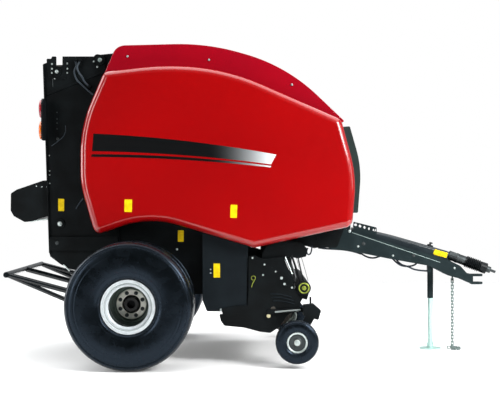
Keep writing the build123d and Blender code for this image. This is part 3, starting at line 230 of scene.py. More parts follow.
def copies(shape, places, sizes=1.0):
    """The same small surface at each place, at each size."""
    points, faces = shape
    places = np.atleast_2d(np.asarray(places, float))
    sizes = np.broadcast_to(np.asarray(sizes, float), len(places))[:, None, None]
    moved = (sizes * points[None] + places[:, None]).reshape(-1, 3)
    many = [[index + i * len(points) for index in face] for i in range(len(places)) for face in faces]
    return moved, many


def mirrored(shape):
    """The left-hand twin of a right-hand surface."""
    points, faces = shape
    return points * (1, -1, 1), faces


def handed(shapes, side):
    """Right-hand surfaces as they are, or mirrored for the left."""
    return list(shapes) if side == "right" else [mirrored(shape) for shape in shapes]


def paired(shapes):
    """Right-hand surfaces with their left-hand twins."""
    return handed(shapes, "right") + handed(shapes, "left")


def piece(name, shapes, material, body, crease=35, replaces=()):
    """One mesh object from surfaces, facing outwards, that rides on a body."""
    points, faces, count = [], [], 0
    for some_points, some_faces in shapes:
        points.append(some_points)
        faces += [[index + count for index in face] for face in some_faces]
        count += len(some_points)
    mesh = bpy.data.meshes.new(name)
    mesh.from_pydata(np.vstack(points).tolist(), [], faces)
    shell = bmesh.new()
    shell.from_mesh(mesh)
    bmesh.ops.recalc_face_normals(shell, faces=shell.faces)
    shell.to_mesh(mesh)
    shell.free()
    mesh.polygons.foreach_set("use_smooth", [True] * len(mesh.polygons))
    mesh.set_sharp_from_angle(angle=math.radians(crease))
    made = bpy.data.objects.new(name, mesh)
    bpy.context.scene.collection.objects.link(made)
    mesh.materials.append(MATERIALS[material])
    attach(made, body)
    if replaces:
        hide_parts(*replaces)
    return made


# Colours and nodes


def linear(colour):
    """An sRGB hex colour as the linear values that shaders use."""
    parts = [int(colour[i:i + 2], 16) / 255 for i in (1, 3, 5)]
    curve = [part / 12.92 if part <= 0.04045 else ((part + 0.055) / 1.055) ** 2.4 for part in parts]
    return (*curve, 1.0)


def grains(millimetres):
    """A pattern's scale on Object coordinates, from the size of one grain."""
    return 1000 / millimetres


def node(tree, kind, inputs=None, **settings):
    """One node with its settings, and its inputs as values or as sockets to link."""
    made = tree.nodes.new(kind)
    for name, value in settings.items():
        setattr(made, name, value)
    wire(tree, made, inputs or {})
    return made


def wire(tree, made, inputs):
    """Give a node's inputs their values, or link them to sockets."""
    for name, value in inputs.items():
        if isinstance(value, bpy.types.NodeSocket):
            tree.links.new(value, made.inputs[name])
        else:
            made.inputs[name].default_value = value


def begin(name):
    """An empty material: its tree, its shader and its Object coordinates."""
    made = bpy.data.materials.new(name.replace(" ", "_"))
    made.use_nodes = True
    tree = made.node_tree
    tree.nodes.clear()
    shader = node(tree, "ShaderNodeBsdfPrincipled")
    node(tree, "ShaderNodeOutputMaterial", {"Surface": shader.outputs["BSDF"]})
    MATERIALS[name] = made
    return tree, shader, node(tree, "ShaderNodeTexCoord").outputs["Object"]


# Sockets of the Mix node for colours
FACTOR, FIRST, SECOND, MIXED = 0, 6, 7, 2
MATERIALS = {}


def two_tone(tree, pattern, body, shade, low=0.0, high=1.0):
    """A colour that drifts between two shades, as a pattern's value goes from a low level to a high one."""
    share = node(tree, "ShaderNodeMapRange", {"Value": pattern, "From Min": low, "From Max": high})
    return node(tree, "ShaderNodeMix", {FACTOR: share.outputs["Result"], FIRST: body, SECOND: shade},
                data_type="RGBA").outputs[MIXED]


# Finishes


def sprayed_enamel(name, body, shade):
    """Two-pack enamel sprayed on pressed sheet: a wet gloss with a faint orange peel."""
    tree, shader, place = begin(name)
    drift = node(tree, "ShaderNodeTexNoise", {"Vector": place, "Scale": grains(900), "Detail": 1.0})
    dust = node(tree, "ShaderNodeTexNoise", {"Vector": place, "Scale": grains(70), "Detail": 5.0})
    rough = node(tree, "ShaderNodeMapRange", {"Value": dust.outputs["Fac"], "From Min": 0.3, "From Max": 0.75,
                                              "To Min": 0.29, "To Max": 0.32})
    # Orange peel is about 2 mm across, drawn at 6 mm so that it shows at this distance
    peel = node(tree, "ShaderNodeTexNoise", {"Vector": place, "Scale": grains(6), "Detail": 1.0})
    relief = node(tree, "ShaderNodeBump", {"Height": peel.outputs["Fac"], "Distance": 0.00001})
    wire(tree, shader, {"Base Color": two_tone(tree, drift.outputs["Fac"], body, shade, 0.3, 0.7),
                        "Roughness": rough.outputs["Result"], "IOR": 1.5, "Specular IOR Level": 0.2,
                        "Coat Weight": 0.9, "Coat Roughness": 0.12, "Coat IOR": 1.55,
                        "Normal": relief.outputs["Normal"]})


def powder_coat(name, body, shade, roughness, gloss=0.0):
    """Polyester powder baked on steel: dark satin with a fine pebbled skin and a film of dust."""
    tree, shader, place = begin(name)
    dust = node(tree, "ShaderNodeTexNoise", {"Vector": place, "Scale": grains(160), "Detail": 6.0})
    rough = node(tree, "ShaderNodeMapRange", {"Value": dust.outputs["Fac"], "From Min": 0.3, "From Max": 0.75,
                                              "To Min": roughness, "To Max": roughness + 0.1})
    # The pebbles are under 1 mm across, drawn at 4 mm so that they show
    pebbles = node(tree, "ShaderNodeTexNoise", {"Vector": place, "Scale": grains(4), "Detail": 2.0})
    relief = node(tree, "ShaderNodeBump", {"Height": pebbles.outputs["Fac"], "Distance": 0.00005})
    wire(tree, shader, {"Base Color": two_tone(tree, dust.outputs["Fac"], body, shade, 0.4, 0.75),
                        "Roughness": rough.outputs["Result"], "IOR": 1.5, "Specular IOR Level": 0.09,
                        "Coat Weight": gloss, "Coat Roughness": 0.12, "Normal": relief.outputs["Normal"]})


def wheel_enamel(name, middle, bands, reach=0.25):
    """Enamel on a pressed wheel, ring by ring: hub and barrel painted dark as shade, dusty disc, bright outer
    ring.
    """
    tree, shader, place = begin(name)
    level = node(tree, "ShaderNodeMapping", {"Vector": place, "Location": (-middle.x, 0, -middle.z),
                                             "Scale": (1, 0, 1)})
    radius = node(tree, "ShaderNodeVectorMath", {0: level.outputs["Vector"]}, operation="LENGTH")
    share = node(tree, "ShaderNodeMath", {0: radius.outputs["Value"], 1: reach}, operation="DIVIDE")
    ring = node(tree, "ShaderNodeValToRGB", {"Fac": share.outputs["Value"]})
    steps = ring.color_ramp.elements
    steps[0].color = linear(bands[0][1])
    steps[1].position, steps[1].color = bands[1][0] / reach, linear(bands[1][1])
    for edge, colour in bands[2:]:
        steps.new(edge / reach).color = linear(colour)
    film = node(tree, "ShaderNodeTexNoise", {"Vector": place, "Scale": grains(35), "Detail": 5.0})
    worn = node(tree, "ShaderNodeMapRange", {"Value": film.outputs["Fac"], "From Min": 0.35, "From Max": 0.7,
                                             "To Max": 0.2})
    rough = node(tree, "ShaderNodeMapRange", {"Value": film.outputs["Fac"], "To Min": 0.3, "To Max": 0.55})
    relief = node(tree, "ShaderNodeBump", {"Height": film.outputs["Fac"], "Distance": 0.0001})
    wire(tree, shader, {
        "Base Color": two_tone(tree, worn.outputs["Result"], ring.outputs["Color"], linear("#4E534E")),
        "Roughness": rough.outputs["Result"], "IOR": 1.5, "Metallic": 0.1,
        "Normal": relief.outputs["Normal"]})


def moulded_rubber(name, body, shade, roughness, grain):
    """Black rubber cured in a mould: soft, faintly blue shine on raised edges, dull where it flexes."""
    tree, shader, place = begin(name)
    wear = node(tree, "ShaderNodeTexNoise", {"Vector": place, "Scale": grains(85), "Detail": 6.0})
    rough = node(tree, "ShaderNodeMapRange", {"Value": wear.outputs["Fac"], "From Min": 0.3, "From Max": 0.7,
                                              "To Min": roughness, "To Max": roughness + 0.1})
    # The mould's grain is finer than 1 mm, drawn coarser so that it shows
    skin = node(tree, "ShaderNodeTexNoise", {"Vector": place, "Scale": grains(grain), "Detail": 3.0})
    relief = node(tree, "ShaderNodeBump", {"Height": skin.outputs["Fac"], "Distance": 0.0001})
    wire(tree, shader, {"Base Color": two_tone(tree, wear.outputs["Fac"], body, shade, 0.4, 0.72),
                        "Roughness": rough.outputs["Result"], "IOR": 1.52, "Specular IOR Level": 0.32,
                        "Specular Tint": linear("#B8D4F5"), "Normal": relief.outputs["Normal"]})


def diamond_belting(name, body, shade):
    """Calendered rubber belting over fabric: matt black with a pressed diamond grip and chalky rubs."""
    tree, shader, place = begin(name)
    rub = node(tree, "ShaderNodeTexNoise", {"Vector": place, "Scale": grains(130), "Detail": 5.0})
    # Diamonds are 8 mm across on the belt, drawn at 16 mm so that they show
    cells = node(tree, "ShaderNodeTexVoronoi", {"Vector": place, "Scale": grains(16), "Randomness": 0.15},
                 distance="MANHATTAN")
    relief = node(tree, "ShaderNodeBump", {"Height": cells.outputs["Distance"], "Distance": 0.0012},
                  invert=True)
    wire(tree, shader, {"Base Color": two_tone(tree, rub.outputs["Fac"], body, shade), "Roughness": 0.72,
                        "IOR": 1.52, "Normal": relief.outputs["Normal"]})


def moulded_plastic(name, body, shade, roughness):
    """Polyethylene pressed in a textured mould: even satin with a leathery grain."""
    tree, shader, place = begin(name)
    cloud = node(tree, "ShaderNodeTexNoise", {"Vector": place, "Scale": grains(220), "Detail": 3.0})
    # The mould's grain is 1.5 mm across, drawn at 5 mm so that it shows
    grain = node(tree, "ShaderNodeTexVoronoi", {"Vector": place, "Scale": grains(5)}, feature="SMOOTH_F1")
    relief = node(tree, "ShaderNodeBump", {"Height": grain.outputs["Distance"], "Distance": 0.00015})
    wire(tree, shader, {"Base Color": two_tone(tree, cloud.outputs["Fac"], body, shade),
                        "Roughness": roughness, "IOR": 1.51, "Specular IOR Level": 0.15,
                        "Normal": relief.outputs["Normal"]})


def plated_steel(name, body, shade, roughness, spangle):
    """Zinc-plated steel: pale metal with a clouded, slightly crystalline skin."""
    tree, shader, place = begin(name)
    cloud = node(tree, "ShaderNodeTexNoise", {"Vector": place, "Scale": grains(spangle), "Detail": 4.0})
    rough = node(tree, "ShaderNodeMapRange", {"Value": cloud.outputs["Fac"], "From Min": 0.3, "From Max": 0.7,
                                              "To Min": roughness, "To Max": roughness + 0.2})
    relief = node(tree, "ShaderNodeBump", {"Height": cloud.outputs["Fac"], "Distance": 0.0001})
    wire(tree, shader, {"Base Color": two_tone(tree, cloud.outputs["Fac"], body, shade), "Metallic": 0.85,
                        "Roughness": rough.outputs["Result"], "Normal": relief.outputs["Normal"]})


def worked_steel(name, body, shade, roughness, along):
    """Bare steel worn by crop: brown-grey metal polished in streaks round the roll or rod."""
    tree, shader, place = begin(name)
    stretched = node(tree, "ShaderNodeMapping", {"Vector": place, "Scale": along}).outputs["Vector"]
    streak = node(tree, "ShaderNodeTexNoise", {"Vector": stretched, "Scale": grains(14), "Detail": 4.0})
    rough = node(tree, "ShaderNodeMapRange", {"Value": streak.outputs["Fac"], "From Min": 0.3,
                                              "From Max": 0.7, "To Min": roughness,
                                              "To Max": roughness + 0.25})
    relief = node(tree, "ShaderNodeBump", {"Height": streak.outputs["Fac"], "Distance": 0.0001})
    wire(tree, shader, {"Base Color": two_tone(tree, streak.outputs["Fac"], body, shade), "Metallic": 1.0,
                        "Roughness": rough.outputs["Result"], "Normal": relief.outputs["Normal"]})


def chromed_rod(name, body, shade):
    """Hard chrome ground and polished: a mirror with the faintest turning marks."""
    tree, shader, place = begin(name)
    marks = node(tree, "ShaderNodeTexNoise", {"Vector": place, "Scale": grains(9), "Detail": 2.0})
    wire(tree, shader, {"Base Color": two_tone(tree, marks.outputs["Fac"], body, shade), "Metallic": 1.0,
                        "Roughness": 0.09})


def moulded_acrylic(name, upper, lower, split):
    """Tinted acrylic lenses: clear skin over ribbed colour, red above and amber below."""
    tree, shader, place = begin(name)
    height = node(tree, "ShaderNodeSeparateXYZ", {"Vector": place}).outputs["Z"]
    above = node(tree, "ShaderNodeMath", {0: height, 1: split}, operation="GREATER_THAN")
    # Prism ribs are 3 mm apart in the lens, drawn at 9 mm so that they show
    ribs = node(tree, "ShaderNodeTexWave", {"Vector": place, "Scale": grains(9) / 20, "Distortion": 0.0},
                bands_direction="Z")
    relief = node(tree, "ShaderNodeBump", {"Height": ribs.outputs["Fac"], "Distance": 0.0006})
    wire(tree, shader, {"Base Color": two_tone(tree, above.outputs["Value"], lower, upper),
                        "Roughness": 0.28, "IOR": 1.49, "Coat Weight": 1.0, "Coat Roughness": 0.05,
                        "Subsurface Weight": 0.3, "Subsurface Radius": (0.02, 0.01, 0.005),
                        "Subsurface Scale": 1.0, "Normal": relief.outputs["Normal"]})


def striped_film(name, dark, light, fade_start, fade_end):
    """Cast vinyl film with a printed fade: black at the rear, running out to silver in front."""
    tree, shader, place = begin(name)
    forward = node(tree, "ShaderNodeSeparateXYZ", {"Vector": place}).outputs["X"]
    along = node(tree, "ShaderNodeMapRange", {"Value": forward, "From Min": fade_start, "From Max": fade_end})
    eased = node(tree, "ShaderNodeMath", {0: along.outputs["Result"], 1: 3.2}, operation="POWER")
    # The print's halftone is far finer than 1 mm, drawn at 3 mm so that it shows
    dots = node(tree, "ShaderNodeTexNoise", {"Vector": place, "Scale": grains(3), "Detail": 1.0})
    rough = node(tree, "ShaderNodeMapRange", {"Value": dots.outputs["Fac"], "To Min": 0.25, "To Max": 0.4})
    wire(tree, shader, {"Base Color": two_tone(tree, eased.outputs["Value"], dark, light),
                        "Roughness": rough.outputs["Result"], "IOR": 1.5, "Specular IOR Level": 0.3})


def plate_film(name, body, shade):
    """Printed polyester film on a blank plate: bright yellow, a little faded in patches."""
    tree, shader, place = begin(name)
    fade = node(tree, "ShaderNodeTexNoise", {"Vector": place, "Scale": grains(30), "Detail": 3.0})
    wire(tree, shader, {"Base Color": two_tone(tree, fade.outputs["Fac"], body, shade, 0.4, 0.7),
                        "Roughness": 0.4, "IOR": 1.5, "Specular IOR Level": 0.3})


def studio_paper(name, glow):
    """Matt white paper, lit a little from behind so that it stays white away from the shadows."""
    tree, shader, place = begin(name)
    fibre = node(tree, "ShaderNodeTexNoise", {"Vector": place, "Scale": grains(400), "Detail": 2.0})
    colour = two_tone(tree, fibre.outputs["Fac"], linear("#F2F3F2"), linear("#F6F6F6"))
    wire(tree, shader, {"Base Color": colour, "Roughness": 1.0, "Specular IOR Level": 0.0,
                        "Emission Color": (1.0, 1.0, 1.0, 1.0), "Emission Strength": glow})


# Finishes of two fixed colours: how it is made, its plain name, its body and shade, then its own values
PLAIN_FINISHES = (
    (powder_coat, "cover coat", "#10161A", "#161D21", 0.5),
    (powder_coat, "drawbar coat", "#1A2426", "#222D2F", 0.4),
    (powder_coat, "tunnel coat", "#1A2226", "#222B2F", 0.35, 0.4),
    (powder_coat, "ramp coat", "#0B1014", "#10171B", 0.25, 0.8),
    (moulded_rubber, "tyre rubber", "#050708", "#090C0E", 0.22, 3.0),
    (moulded_rubber, "hose rubber", "#101214", "#181B1D", 0.45, 2.0),
    (moulded_rubber, "light hose", "#2E3336", "#3C4246", 0.4, 2.0),
    (diamond_belting, "belting", "#101112", "#1C1D1E"),
    (moulded_plastic, "guard plastic", "#0B0E10", "#121618", 0.4),
    (moulded_plastic, "front cover plastic", "#232C2B", "#2B3634", 0.42),
    (moulded_plastic, "cream plastic", "#CFC9A4", "#BDB792", 0.45),
    (plated_steel, "zinc plate", "#D3DCDA", "#A4B0AE", 0.3, 12),
    (plated_steel, "jack zinc", "#D4EFE9", "#B4DAD2", 0.4, 25),
    # This zinc also paints the highlight on the drawbar's pale bead
    (plated_steel, "old zinc and highlight", "#93A3A0", "#64726F", 0.4, 8),
    (plated_steel, "yellow zinc", "#A9B451", "#7C8A33", 0.38, 10),
    # This zinc also paints the shade in the gauge wheels' discs and in two holes in the tongue
    (plated_steel, "dark zinc and shade", "#4A4F50", "#2F3435", 0.4, 8),
    (worked_steel, "roll steel", "#77736C", "#4C4843", 0.3, (1, 0.05, 1)),
    (worked_steel, "spring steel", "#A3A6A6", "#6E7173", 0.28, (1, 1, 0.2)),
    (chromed_rod, "hard chrome", "#DDE0E2", "#CBCFD2"),
)
# Where the stripes begin to fade and where they end, forward of the axle
FADE_START, FADE_END = 0.60, 1.19
# Height between the two lamps, in metres
LAMP_SPLIT = 2.13
# Colours of the wheels from the middle outwards: each row's colour is full at its radius
# Painted shade: the black middle stands for the shade in the hub's hole, the darker rows from 0.131 to 0.199
# for the shade in the recessed barrel
WHEEL_BANDS = (
    (0.000, "#08090A"), (0.0780, "#08090A"), (0.0790, "#F4F3E8"), (0.1290, "#F4F3E8"), (0.1310, "#4B5651"),
    (0.1750, "#77857D"), (0.1900, "#5A6660"), (0.1990, "#5A6660"), (0.2010, "#E4E8EA"), (0.2400, "#E4E8EA"),
)
RING_BANDS = ((0.0, "#C3CACD"), (0.1, "#C3CACD"))
# Painted shade: the dark rows between the bright cap and the bright ring stand for the shade over the
# recessed disc
GAUGE_BANDS = (
    (0.000, "#DADCD2"), (0.0250, "#DADCD2"), (0.0265, "#3B433E"), (0.0480, "#59645D"), (0.0640, "#39413D"),
    (0.0700, "#39413D"), (0.0720, "#DFEDE8"), (0.1000, "#DFEDE8"),
)


def make_finishes(colours):
    """Every finish on the machine, each under its plain name."""
    sprayed_enamel("shield enamel", tuple(colours.shield), linear("#8D0002"))
    sprayed_enamel("panel enamel", tuple(colours.panel), linear("#8A0016"))
    # This coat also paints the shade under the shields' front ends
    powder_coat("frame coat and shade", tuple(colours.frame), linear("#101517"), 0.42)
    plate_film("plate film", tuple(colours.plate), linear("#D9B400"))
    for make, name, body, shade, *values in PLAIN_FINISHES:
        make(name, linear(body), linear(shade), *values)
    wheel_enamel("wheel enamel and shade", TYRE_MIDDLE, WHEEL_BANDS)
    wheel_enamel("ring enamel", TYRE_MIDDLE, RING_BANDS)
    wheel_enamel("gauge enamel and shade", GAUGE_MIDDLE, GAUGE_BANDS)
    moulded_acrylic("lamp acrylic", linear("#A3081C"), linear("#E06A08"), LAMP_SPLIT)
    striped_film("stripe film", linear("#060708"), linear("#D6DADC"), TYRE_MIDDLE.x + FADE_START,
                 TYRE_MIDDLE.x + FADE_END)


# CAD nodes and their finish; every other node has the frame's coat
NODE_FINISHES = (
    ("side_shield_right side_shield_left", "shield enamel"),
    ("upper_panel_right upper_panel_left", "panel enamel"),
    ("rim_right rim_left", "wheel enamel and shade"),
    ("gauge_rim_right gauge_rim_left", "gauge enamel and shade"),
    ("tyre_right tyre_left gauge_wheel_right gauge_wheel_left", "tyre rubber"),
    ("front_belts gate_belts", "belting"),
    ("shaft_guard driveline_guard guard_roller", "guard plastic"),
    ("front_cover", "front cover plastic"),
    ("drive_cover_right drive_cover_left", "cover coat"),
    ("tongue hitch_clevis jack_tube gearbox", "drawbar coat"),
    ("bale_ramp", "ramp coat"),
    ("jack_leg", "jack zinc"),
    ("safety_chain", "old zinc and highlight"),
    ("shaft_yoke", "dark zinc and shade"),
    ("windguard_tines", "spring steel"),
    ("front_rolls floor_rolls gate_rolls pickup_reel pickup_bands", "roll steel"),
    ("gate_rod_right gate_rod_left", "hard chrome"),
    ("lamp_lenses_right lamp_lenses_left", "lamp acrylic"),
    ("drawbar_hoses", "hose rubber"),
    ("gate_hoses", "light hose"),
)


class BalerColours(bpy.types.PropertyGroup):
    """The colours that a user would change"""
    shield: bpy.props.FloatVectorProperty(name="Shields", description="Enamel of the two side shields",
                                          subtype="COLOR", size=4, min=0, max=1, default=linear("#960002"))
    panel: bpy.props.FloatVectorProperty(name="Upper panels", description="Enamel of the two upper panels",
                                         subtype="COLOR", size=4, min=0, max=1, default=linear("#970014"))
    frame: bpy.props.FloatVectorProperty(name="Frame", description="Powder coat of the frame and sheets",
                                         subtype="COLOR", size=4, min=0, max=1, default=linear("#090C0D"))
    plate: bpy.props.FloatVectorProperty(name="Plates", description="Film of the blank plates",
                                         subtype="COLOR", size=4, min=0, max=1, default=linear("#F0D000"))


class BalerSizes(bpy.types.PropertyGroup):
    """The sizes that a user would change"""
    groove: bpy.props.FloatProperty(name="Tread groove", description="Depth of the main tyres' grooves",
                                    unit="LENGTH", min=0, max=0.02, default=0.011)
    notches: bpy.props.IntProperty(name="Shoulder notches", description="Notches round each tyre's shoulder",
                                   min=12, max=120, default=56)
    nuts: bpy.props.IntProperty(name="Wheel nuts", description="Nuts round each wheel's hub",
                                min=4, max=12, default=8)
    nut_circle: bpy.props.FloatProperty(name="Nut circle", description="Diameter of the circle of wheel nuts",
                                        unit="LENGTH", min=0.1, max=0.35, default=0.203)
    film: bpy.props.FloatProperty(name="Film", description="Thickness of the stripes and blank plates",
                                  unit="LENGTH", min=0.0002, max=0.004, default=0.001)
    bellows: bpy.props.IntProperty(name="Bellows ribs", description="Ribs of the power shaft's bellows",
                                   min=3, max=16, default=8)
    staples: bpy.props.IntProperty(name="Lace staples", description="Staples across each belt's joint",
                                   min=4, max=30, default=14)


class BALER_OT_finishes(bpy.types.Operator):
    """Give every CAD node its finish"""
    bl_idname = "baler.finishes"
    bl_label = "Finishes"

    def execute(self, context):
        make_finishes(context.scene.baler_colours)
        chosen = {name: finish for names, finish in NODE_FINISHES for name in names.split()}
        for name, item in frame["nodes"].items():
            item.data.materials.clear()
            item.data.materials.append(MATERIALS[chosen.get(name, "frame coat and shade")])
        return {"FINISHED"}


# Half of each tyre's section, as the radius and the distance out of the corners that the curve rounds
MAIN_SECTION = (
    (0.2050, 0.2190), (0.2290, 0.2190), (0.2300, 0.2330), (0.2450, 0.2500), (0.2950, 0.2660),
    (0.3800, 0.2736), (0.4550, 0.2700), (0.4900, 0.2640), (0.5200, 0.2480), (0.5370, 0.2170),
    (0.5400, 0.1700), (0.5400, 0.1000), (0.5400, 0.0000),
)
GAUGE_SECTION = (
    (0.0790, 0.0575), (0.0900, 0.0580), (0.0905, 0.0650), (0.1020, 0.0735), (0.1300, 0.0758),
    (0.1570, 0.0735), (0.1750, 0.0655), (0.1830, 0.0520), (0.1830, 0.0250), (0.1830, 0.0000),
)
# Rings moulded round the main tyre's sidewall: radius, half width, height
MAIN_RINGS = (
    (0.2500, 0.0060, 0.0030), (0.2760, 0.0020, 0.0012), (0.2860, 0.0020, 0.0012), (0.4360, 0.0030, 0.0014),
    (0.4480, 0.0030, -0.0016), (0.4990, 0.0050, -0.0060), (0.5170, 0.0030, 0.0016),
)
GAUGE_RINGS = ((0.1060, 0.0020, 0.0010), (0.1640, 0.0016, -0.0014))
# Grooves round the crown: distance out from the middle
MAIN_GROOVES = (0.000, 0.046, 0.092, 0.138, 0.184)
GAUGE_GROOVES = (0.000, 0.024, 0.047)
# Where the tread and its notches begin, as shares of the crown's radius, and where the notches' band lies
# and how far it spreads, as shares of the half width
TREAD_EDGE, NOTCH_EDGE = 0.985, 0.980
NOTCH_MIDDLE, NOTCH_SPREAD = 0.62, 0.10


def tyre_shape(middle, section, rings, grooves, groove_width, groove, notches, notch, steps):
    """A tyre as radius and distance out over angle: its section is lifted along its own normal by each
    ring's bell curve, sunk at each groove, and sunk again where the notches cross its shoulder."""
    half = rounded(section, 10)
    slope = np.gradient(half, axis=0)
    normal = np.column_stack([-slope[:, 1], slope[:, 0]])
    normal = normal / np.linalg.norm(normal, axis=1, keepdims=True)
    crown = half[:, 0].max()
    tread = half[:, 0] > TREAD_EDGE * crown
    lift = np.zeros(len(half))
    for radius, width, height in rings:
        lift = lift + height * np.exp(-((half[:, 0] - radius) / width) ** 4) * ~tread
    for out in grooves:
        lift = lift - groove * np.exp(-((half[:, 1] - out) / groove_width) ** 6) * tread
    half = half + lift[:, None] * normal
    profile = np.vstack([half, half[-2:0:-1] * (1, -1)])
    angle = full_turn(steps)
    reach = np.abs(profile[:, 1]) / half[:, 1].max()
    shoulder = np.exp(-((reach - NOTCH_MIDDLE) / NOTCH_SPREAD) ** 6) * (profile[:, 0] > NOTCH_EDGE * crown)
    tooth = np.clip(3 * np.sin(notches * angle) - 1, 0, 1)
    radius = profile[:, 0, None] - notch * shoulder[:, None] * tooth
    x, z = middle[0] + radius * np.cos(angle), middle[2] + radius * np.sin(angle)
    y = np.broadcast_to(middle[1] - profile[:, 1, None], x.shape)
    return stacked(np.stack([x, y, z], axis=-1), wrap=True)


class BALER_OT_tyres(bpy.types.Operator):
    """The two main tyres, with sidewall rings, crown grooves and shoulder notches"""
    bl_idname = "baler.tyres"
    bl_label = "Tyres"

    def execute(self, context):
        sizes = context.scene.baler_sizes
        shape = tyre_shape(TYRE_MIDDLE, MAIN_SECTION, MAIN_RINGS, MAIN_GROOVES, groove_width=0.006,
                           groove=sizes.groove, notches=sizes.notches, notch=0.003, steps=224)
        for side in SIDES:
            piece(f"tread_{side}", handed([shape], side), "tyre rubber", f"wheel_{side}",
                  crease=40, replaces=[f"tyre_{side}"])
        return {"FINISHED"}


# Sections of the main wheel's rolled lip, weld and pressed disc: radius, distance out from the face named
LIP_FROM_RIM = (
    (0.1950, -0.0600), (0.1700, -0.0500), (0.1680, -0.0460), (0.1700, -0.0400), (0.1880, -0.0300),
    (0.1895, -0.0340), (0.1915, -0.0300), (0.1965, -0.0040), (0.2000, 0.0005), (0.2045, 0.0010),
    (0.2060, 0.0035), (0.2150, 0.0035), (0.2165, 0.0010), (0.2200, 0.0020), (0.2262, 0.0040),
    (0.2285, 0.0000), (0.2285, -0.0080), (0.2000, -0.0600),
)
WELD_FROM_DISC = ((0.1890, -0.0040), (0.1890, 0.0080), (0.1965, 0.0140), (0.1965, -0.0040))
DISC_RAISED = 0.030
PRESSING_FROM_DISC = (
    (0.0790, -0.0010), (0.0790, DISC_RAISED), (0.1230, DISC_RAISED), (0.1280, DISC_RAISED - 0.0040),
    (0.1320, 0.0140), (0.1500, 0.0100), (0.1560, 0.0140), (0.1620, 0.0100), (0.1700, -0.0010),
)
# A wheel nut's radius, and its height as a share of that
NUT_RADIUS = 0.0125
NUT_HEIGHT = 1.1
# The valve's stem: forward of the wheel's centre, out from the disc, above the centre
VALVE_STEM = ((0.168, 0.040, 0.020), (0.168, 0.080, 0.020), (0.172, 0.115, 0.020))
VALVE_RADIUS = 0.007


class BALER_OT_wheel_fittings(bpy.types.Operator):
    """Rolled lip, nuts, pressed disc and valve of each main wheel"""
    bl_idname = "baler.wheel_fittings"
    bl_label = "Wheel fittings"

    def execute(self, context):
        sizes = context.scene.baler_sizes
        centre = np.array((TYRE_MIDDLE.x, 0, TYRE_RADIUS))
        lip = lathe(LIP_FROM_RIM, centre - (0, RIM_FACE, 0), steps=96, wrap=True)
        weld = lathe(WELD_FROM_DISC, centre - (0, DISC_FACE, 0), steps=96, wrap=True)
        pressing = lathe(PRESSING_FROM_DISC, centre - (0, DISC_FACE, 0), steps=72, wrap=True)
        angle = full_turn(sizes.nuts) + math.pi / sizes.nuts
        circle = np.column_stack([np.cos(angle), np.zeros(sizes.nuts), np.sin(angle)]) * sizes.nut_circle / 2
        nuts = copies(hexagon_head(NUT_HEIGHT), centre - (0, DISC_FACE + DISC_RAISED, 0) + circle, NUT_RADIUS)
        stem = [centre + (forward, -DISC_FACE - out, up) for forward, out, up in VALVE_STEM]
        valve = tube(rounded(stem), VALVE_RADIUS, 10)
        for side in SIDES:
            body = f"wheel_{side}"
            piece(f"rim_lip_{side}", handed([lip, weld], side), "ring enamel", body)
            piece(f"wheel_nuts_{side}", handed([nuts], side), "dark zinc and shade", body)
            piece(f"wheel_disc_{side}", handed([pressing], side), "wheel enamel and shade", body)
            piece(f"valve_{side}", handed([valve], side), "hose rubber", body)
        return {"FINISHED"}


# Sections of the gauge wheel's ring, disc and cap: radius, distance out from the rim's face
GAUGE_RIM_RING = (
    (0.0720, -0.0120), (0.0735, 0.0000), (0.0790, 0.0030), (0.0860, 0.0030), (0.0890, 0.0000),
    (0.0890, -0.0120),
)
GAUGE_DISC = (
    (0.0730, -0.0300), (0.0730, -0.0150), (0.0600, -0.0120), (0.0400, -0.0180), (0.0260, -0.0100),
    (0.0100, -0.0100),
)
GAUGE_CAP = ((0.0240, -0.0130), (0.0240, 0.0020), (0.0200, 0.0060), (0.0060, 0.0080))


class BALER_OT_gauge_wheels(bpy.types.Operator):
    """The two ribbed gauge tyres with their rim rings and hub caps"""
    bl_idname = "baler.gauge_wheels"
    bl_label = "Gauge wheels"

    def execute(self, context):
        shape = tyre_shape(GAUGE_MIDDLE, GAUGE_SECTION, GAUGE_RINGS, GAUGE_GROOVES, groove_width=0.0035,
                           groove=0.006, notches=0, notch=0.0, steps=120)
        face = np.array((GAUGE_MIDDLE.x, -GAUGE_RIM_FACE, GAUGE_MIDDLE.z))
        ring = lathe(GAUGE_RIM_RING, face, steps=64, wrap=True)
        disc = lathe(GAUGE_DISC, face, steps=64)
        cap = lathe(GAUGE_CAP, face, steps=32)
        for side in SIDES:
            body = f"gauge_{side}"
            piece(f"gauge_tyre_{side}", handed([shape], side), "tyre rubber", body, crease=40,
                  replaces=[f"gauge_wheel_{side}"])
            piece(f"gauge_ring_{side}", handed([ring], side), "zinc plate", body)
            # The disc's dark finish is painted shade in the wheel's recess
            piece(f"gauge_disc_{side}", handed([disc], side), "dark zinc and shade", body)
            piece(f"gauge_cap_{side}", handed([cap], side), "zinc plate", body)
        return {"FINISHED"}


# How far the films' backs lie inside the faces that they are stuck to
FILM_SUNK = 0.001
# The shield's stripes, each edge through three points, X and Z in metres from the axle
BROAD_LOW = ((-0.3410, 1.8485), (0.4270, 1.8150), (1.1950, 1.7360))
BROAD_HIGH = ((-0.3295, 1.9995), (0.4550, 1.9370), (1.2390, 1.8190))
FINE_LOW = ((-0.3470, 1.8000), (0.4240, 1.7755), (1.1900, 1.7096))
FINE_HIGH = ((-0.3450, 1.8220), (0.4250, 1.7985), (1.1950, 1.7216))


